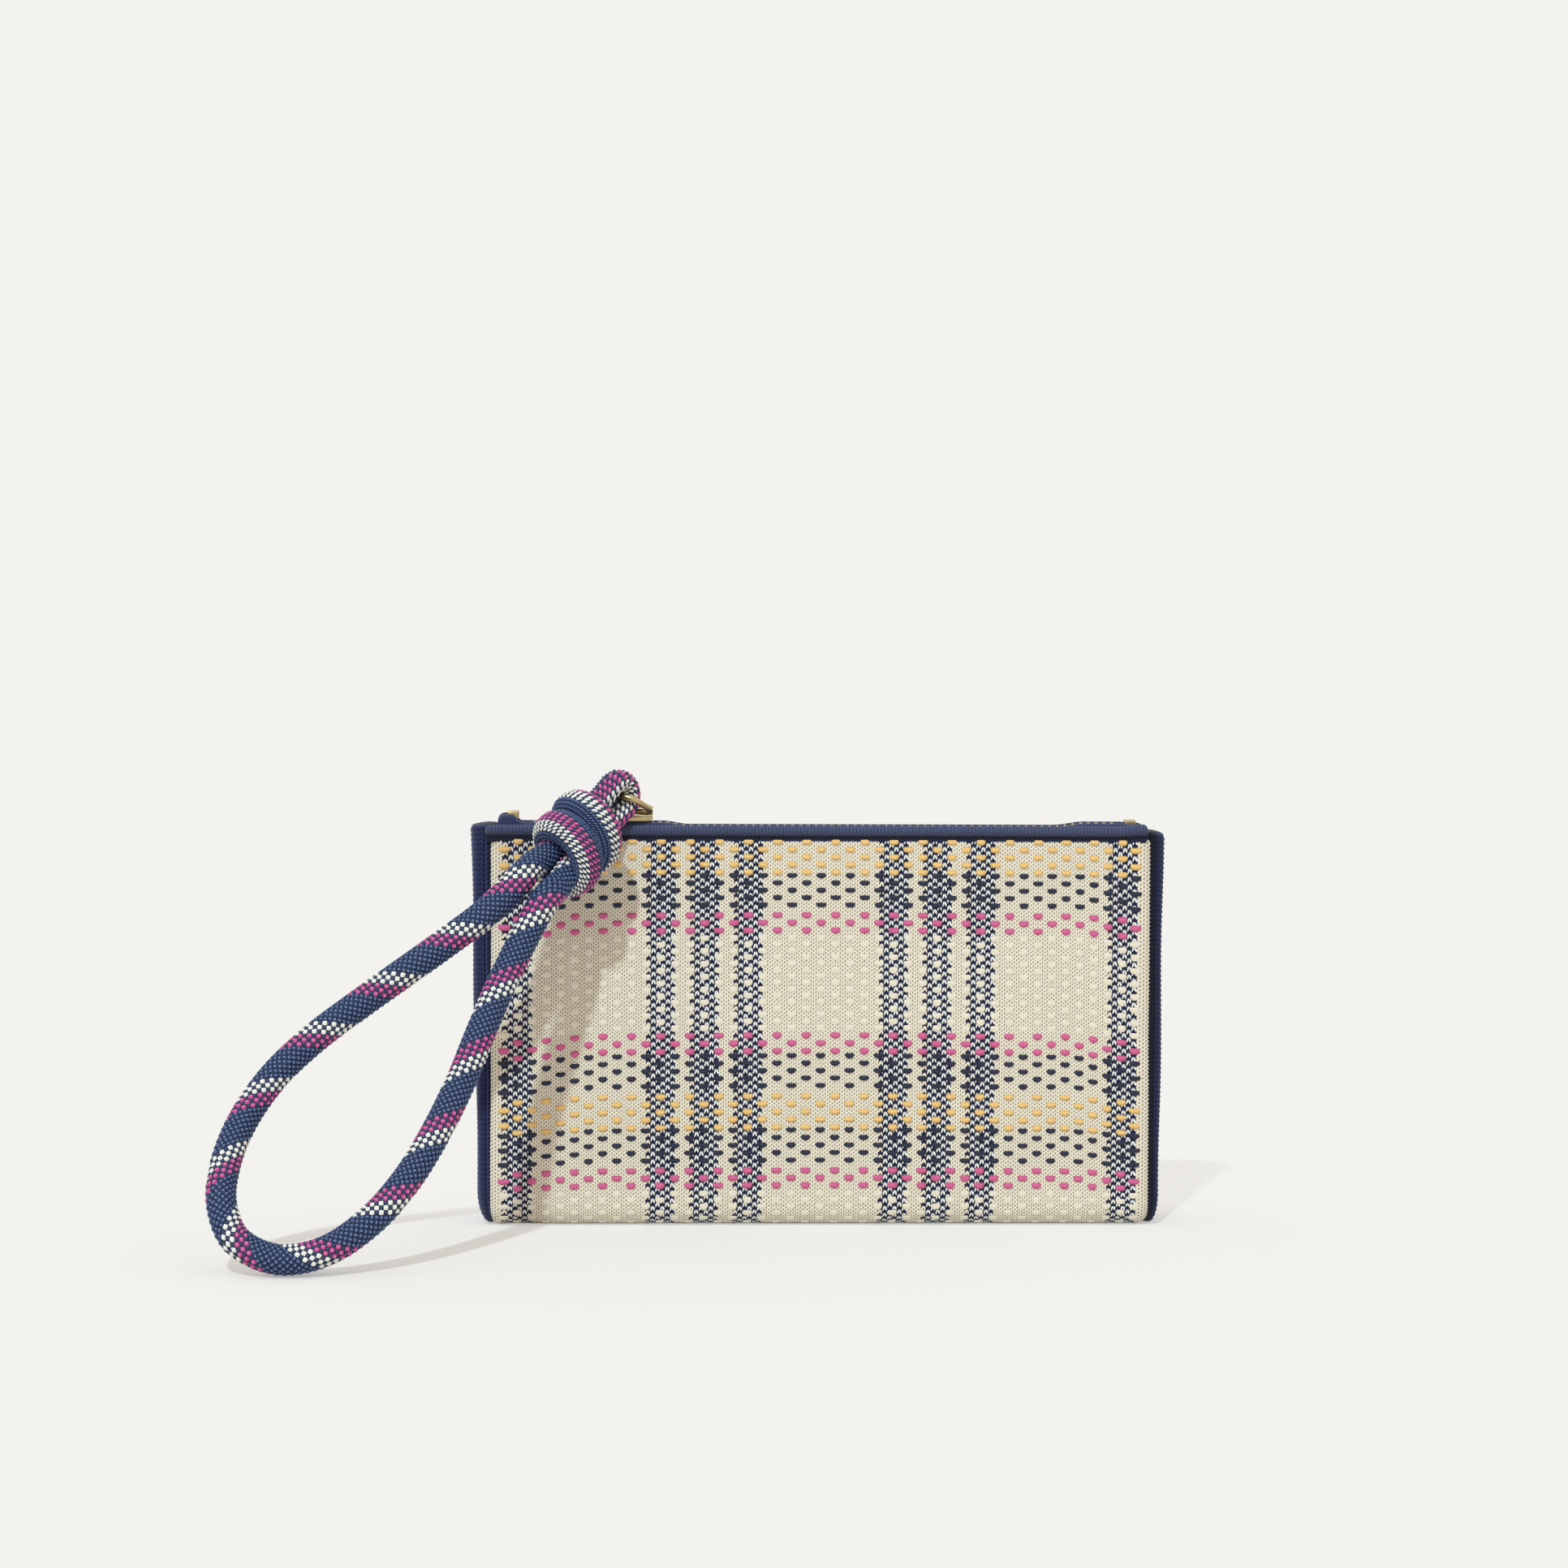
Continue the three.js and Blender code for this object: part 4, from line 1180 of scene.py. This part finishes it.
# A tooth's half-length along the zip, its half-height, how far it sits below the chain's middle, and
# how far its ends stay clear of the post and inside the chain's side, with the depth of its waist.
TOOTH_HALF = 0.58
TOOTH_RISE = 0.5
TOOTH_DROP = 0.3
TOOTH_CLEAR = 0.12
TOOTH_INSIDE = 0.1
TOOTH_WAIST = 0.25

# The zip's free left end, its rise and where, the dip's two ends, and the drop at the right and where.
FREE_END_RISE = 2.3
FREE_END = (-90.6, -93.0)
DIP_LEFT = (-48, -40)
DIP_RIGHT = (79, 70)
RIGHT_DROP = 0.3
RIGHT_END = (91, 92)


def zip_rise(x):
    """How far the soft zip stands over a straight one: up at its free left end, down past the slider.

    It is straight where the slider stops.
    """
    dip = smooth_step(*DIP_LEFT, x) * smooth_step(*DIP_RIGHT, x)
    return FREE_END_RISE * smooth_step(*FREE_END, x) - dip - RIGHT_DROP * smooth_step(*RIGHT_END, x)


class WRISTLET_OT_zip(bpy.types.Operator):
    """Sews in the zip: woven tapes, brass teeth and stops"""

    bl_idname = "wristlet.zip"
    bl_label = "Zip"

    def execute(self, context):
        settings = context.scene.wristlet_zip
        tape = woven("zip tape", tuple(settings.tape), 0.9, True, 0.45, 1.7)
        brass = satin_brass("zip brass", tuple(settings.brass))
        for sign, side in ((-1, "front"), (1, "back")):
            seat(self.tape(side + "_tape", tape, sign), "pouch", "zip_tape", side + "_zip_tape")
            seat(self.teeth(side + "_teeth", brass, settings, sign), "pouch", "brass", side + "_zip_teeth")
        for node in ("front_top_stop", "back_top_stop", "bottom_stop"):
            clip = softened(node, node + "_clip", STOP_EDGE, brass)
            low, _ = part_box(node)
            clip.data.transform(Matrix.Translation((0, 0, zip_rise(low[0] / MM) * MM)))
            seat(clip, "pouch", "brass", node)
        return {"FINISHED"}

    def tape(self, name, finish, sign):
        """A tape that comes up behind the rim and rolls in to its teeth."""
        inset = KNIT + SEAM_GAP
        top = CHAIN_Z + TAPE / 2
        turn = np.linspace(0, math.pi / 2, 6)
        levels = np.array(TAPE_LEVELS)
        wall = half_depth(top) - inset - TAPE_ROLL * (1 - np.cos(turn))
        outer_y = np.concatenate([half_depth(levels) - inset, wall, [TAPE_EDGE + TAPE_FLAT, TAPE_EDGE]])
        outer_z = np.concatenate([levels, top - TAPE_ROLL * (1 - np.sin(turn)), [top, top]])
        inner_y = outer_y - TAPE * np.concatenate([[1, 1, 1], np.cos(turn), [0, 0]])
        inner_z = outer_z - TAPE * np.concatenate([[0, 0, 0], np.sin(turn), [1, 1]])
        y = np.concatenate([outer_y, inner_y[::-1]])
        z = np.concatenate([outer_z, inner_z[::-1]])
        end = PANEL_WIDTH / 2 - TAPE_END_INSET
        near = np.linspace(0, TAPE_CORNER, 9)[:-1]
        straight = np.linspace(TAPE_CORNER - end, end - TAPE_CORNER, 160)
        x = np.concatenate([near - end, straight, end - near[::-1]])[:, None]
        past = np.clip(np.abs(x) - end + TAPE_CORNER, 0, TAPE_CORNER)
        corner = TAPE_CORNER - np.sqrt((TAPE_CORNER ** 2 - past ** 2).clip(0))
        z = z - corner * smooth_step(CORNER_FROM, top, z)
        ridge = FRONT_RIDGE + FRONT_WAVE * np.sin(x / 9.5) if sign < 0 else BACK_RIDGE
        z = z + ridge * smooth_step(*RIDGE_PLACE, y) * smooth_step(*RIDGE_HEIGHTS, z)
        z = z + zip_rise(x) * smooth_step(*FOLLOW, z)
        rings = np.stack(np.broadcast_arrays(x, sign * y, z), -1)
        return tube_piece(name, rings, [finish], sign < 0)

    def teeth(self, name, finish, settings, sign):
        """A row of rounded teeth, each with a waist, clamped on the tape's edge."""
        pitch = settings.tooth_pitch / MM
        end = PANEL_WIDTH / 2 - TAPE_END_INSET - TAPE_TAIL - STOP_LENGTH - SEAM_GAP
        count = int((2 * end - 2 * pitch) / pitch)
        spin, rise = np.meshgrid(np.linspace(0, math.tau, 17)[:-1], np.linspace(-math.pi / 2, math.pi / 2, 9))

        def rounded(wave, power=0.35):
            return np.sign(wave) * np.abs(wave) ** power

        inner, outer = POST_WIDTH / 2 + TOOTH_CLEAR, CHAIN_WIDTH / 2 - TOOTH_INSIDE
        deep = rounded(np.cos(rise)) * rounded(np.sin(spin))
        waist = 1 - TOOTH_WAIST * np.clip(1 - np.abs(deep + 0.1) * 2.2, 0, 1)
        x = TOOTH_HALF * waist * rounded(np.cos(rise)) * rounded(np.cos(spin))
        y = (inner + outer) / 2 + (outer - inner) / 2 * deep
        z = TOOTH_RISE * rounded(np.sin(rise), 0.45) - TOOTH_DROP
        centre = ((np.arange(count) - (count - 1) / 2 + 0.25 * sign) * pitch)[:, None, None]
        points = np.stack(np.broadcast_arrays(centre + x, sign * y, CHAIN_Z + zip_rise(centre) + z), -1)
        faces = repeat_faces(grid_faces(*x.shape, closed_columns=True), x.size, count)
        return make_piece(name, points, [faces[:, ::sign]], [finish])


class WRISTLET_OT_slider(bpy.types.Operator):
    """Makes the zip's slider, its bridge and the pull ring"""

    bl_idname = "wristlet.slider"
    bl_label = "Slider and ring"

    def execute(self, context):
        settings = context.scene.wristlet_zip
        brass = satin_brass("slider brass", tuple(settings.brass))
        seat(softened("slider_body", "slider_plates", PLATE_EDGE, brass), "slider", "brass", "slider_body")
        seat(softened("slider_bridge", "slider_arch", ARCH_EDGE, brass), "slider", "brass", "slider_bridge")
        seat(self.ring("pull_wire", brass), "ring", "brass", "pull_ring")
        return {"FINISHED"}

    def ring(self, name, finish):
        """A round wire bent to a rounded rectangle."""
        axes = StrapFrame()
        near, far = RING_CORNER, RING_LENGTH - RING_CORNER
        side = RING_WIDTH / 2 - RING_CORNER
        corners = ((far, side, 0), (near, side, 90), (near, -side, 180), (far, -side, 270))
        turns = [(x, y, math.radians(start + step)) for x, y, start in corners for step in range(0, 91, 9)]
        normal = np.cross(axes.ring_along, axes.across)
        around = np.linspace(0, math.tau, 17)[:-1]
        rings = []
        for x, y, turn in turns:
            out = math.cos(turn) * axes.ring_along + math.sin(turn) * axes.across
            middle = axes.pivot + x * axes.ring_along + y * axes.across + RING_CORNER * out
            rings.append(middle + RING_WIRE / 2 * (np.multiply.outer(np.cos(around), out)
                                                   + np.multiply.outer(np.sin(around), normal)))
        faces = grid_faces(len(turns), len(around), closed_rows=True, closed_columns=True)
        return make_piece(name, np.vstack(rings), [faces[:, ::-1]], [finish])


# Stage


CAMERA_PLACE = (-0.0822, -1.578, 0.2807)
CAMERA_VIEW = Vector((0.0445, 0.9946, -0.0936))
CAMERA_ROLL = Quaternion((0, 0, 1), math.radians(0.408))
LAMP_VIEW = Vector((0.214, 0.629, -0.748))
FLOOR_CORNERS = [(-20, -6, 0), (20, -6, 0), (20, 40, 0), (-20, 40, 0)]

# The share of the floor that is lightened in front, what it gains to the back, and over how far.
FLOOR_LIGHT = 0.38
FLOOR_GAIN = 0.4
FLOOR_REACH = 60 * MM


class WRISTLET_OT_stage(bpy.types.Operator):
    """Sets the camera, the pale floor and the studio light"""

    bl_idname = "wristlet.stage"
    bl_label = "Stage"

    def execute(self, context):
        scene = context.scene
        stage = scene.wristlet_stage
        scene.view_settings.view_transform = "Standard"
        self.camera(scene, stage.lens)
        self.floor(tuple(stage.backdrop))
        self.lamps(scene, stage)
        return {"FINISHED"}

    def camera(self, scene, lens):
        view = bpy.data.cameras.new("camera")
        view.lens = lens
        view.sensor_width = 36
        camera = link("camera", view)
        camera.location = CAMERA_PLACE
        camera.rotation_euler = (CAMERA_VIEW.to_track_quat("-Z", "Y") @ CAMERA_ROLL).to_euler()
        scene.camera = camera

    def floor(self, backdrop):
        """A wide floor that takes the shadow, lightened where it is seen and more towards the back."""
        mesh = bpy.data.meshes.new("floor")
        mesh.from_pydata(FLOOR_CORNERS, [], [(0, 1, 2, 3)])
        floor = link("floor", mesh)
        paper = new_finish("pale floor")
        paper.tree.nodes.remove(paper.surface)
        diffuse = paper.node("ShaderNodeBsdfDiffuse", None, {"Color": backdrop})
        glow = paper.node("ShaderNodeEmission", None, {"Color": backdrop, "Strength": 1.0})
        _, depth, _ = paper.axes(paper.place())
        light = (depth * (1 / FLOOR_REACH) + 0.5).clipped() * FLOOR_GAIN + FLOOR_LIGHT
        shown = paper.node("ShaderNodeMixShader", None, {0: self.shown(paper) * light, 1: diffuse, 2: glow})
        paper.feed(paper.tree.nodes["Material Output"].inputs["Surface"], shown)
        mesh.materials.append(paper.owner)

    def shown(self, finish):
        """1 on rays that show the background: to the camera, in metal and through glass."""
        rays = finish.node("ShaderNodeLightPath").socket.node.outputs
        camera, gloss, through = (Value(finish, rays[name])
                                  for name in ("Is Camera Ray", "Is Glossy Ray", "Is Transmission Ray"))
        return (camera + gloss + through).clipped()

    def lamps(self, scene, stage):
        """A lamp at the upper left and light from all round, behind which the backdrop shows."""
        sun = bpy.data.lights.new("key", "SUN")
        sun.energy = stage.key
        sun.angle = stage.key_spread
        sun.color = stage.key_tint
        link("key", sun).rotation_euler = LAMP_VIEW.to_track_quat("-Z", "Y").to_euler()
        scene.world = bpy.data.worlds.new("studio")
        sky = Finish(scene.world)
        light, back = (sky.node("ShaderNodeBackground", None, {"Color": tuple(colour), "Strength": power})
                       for colour, power in ((stage.fill_tint, stage.fill), (stage.backdrop, 1.0)))
        shown = sky.node("ShaderNodeMixShader", None, {0: self.shown(sky), 1: light, 2: back})
        sky.feed(sky.tree.nodes["World Output"].inputs["Surface"], shown)


class WRISTLET_PT_sidebar(bpy.types.Panel):
    """Lists the wristlet's pieces and their settings"""

    bl_idname = "WRISTLET_PT_sidebar"
    bl_label = "Zip wristlet"
    bl_space_type = "VIEW_3D"
    bl_region_type = "UI"
    bl_category = "Wristlet"

    def draw(self, context):
        column = self.layout.column()
        for operator in OPERATORS:
            column.operator(operator.bl_idname)
        for name, group in SETTINGS.items():
            settings = getattr(context.scene, name)
            box = self.layout.box()
            for field in group.__annotations__:
                box.prop(settings, field)


SETTINGS = {
    "wristlet_knit": KnitSettings,
    "wristlet_rope": RopeSettings,
    "wristlet_zip": ZipSettings,
    "wristlet_stage": StageSettings,
}
OPERATORS = (
    WRISTLET_OT_stage,
    WRISTLET_OT_strap,
    WRISTLET_OT_panels,
    WRISTLET_OT_floats,
    WRISTLET_OT_rims,
    WRISTLET_OT_gussets,
    WRISTLET_OT_inside,
    WRISTLET_OT_zip,
    WRISTLET_OT_slider,
)


def register():
    for group in (*SETTINGS.values(), *OPERATORS, WRISTLET_PT_sidebar):
        bpy.utils.register_class(group)
    for name, group in SETTINGS.items():
        setattr(bpy.types.Scene, name, bpy.props.PointerProperty(type=group))


def unregister():
    for name in SETTINGS:
        delattr(bpy.types.Scene, name)
    for group in (WRISTLET_PT_sidebar, *reversed(OPERATORS), *reversed(SETTINGS.values())):
        bpy.utils.unregister_class(group)


def main():
    register()
    bpy.ops.wristlet.stage()
    bpy.ops.wristlet.strap()
    bpy.ops.wristlet.panels()
    bpy.ops.wristlet.floats()
    bpy.ops.wristlet.rims()
    bpy.ops.wristlet.gussets()
    bpy.ops.wristlet.inside()
    bpy.ops.wristlet.zip()
    bpy.ops.wristlet.slider()


if __name__ == "__main__":
    main()
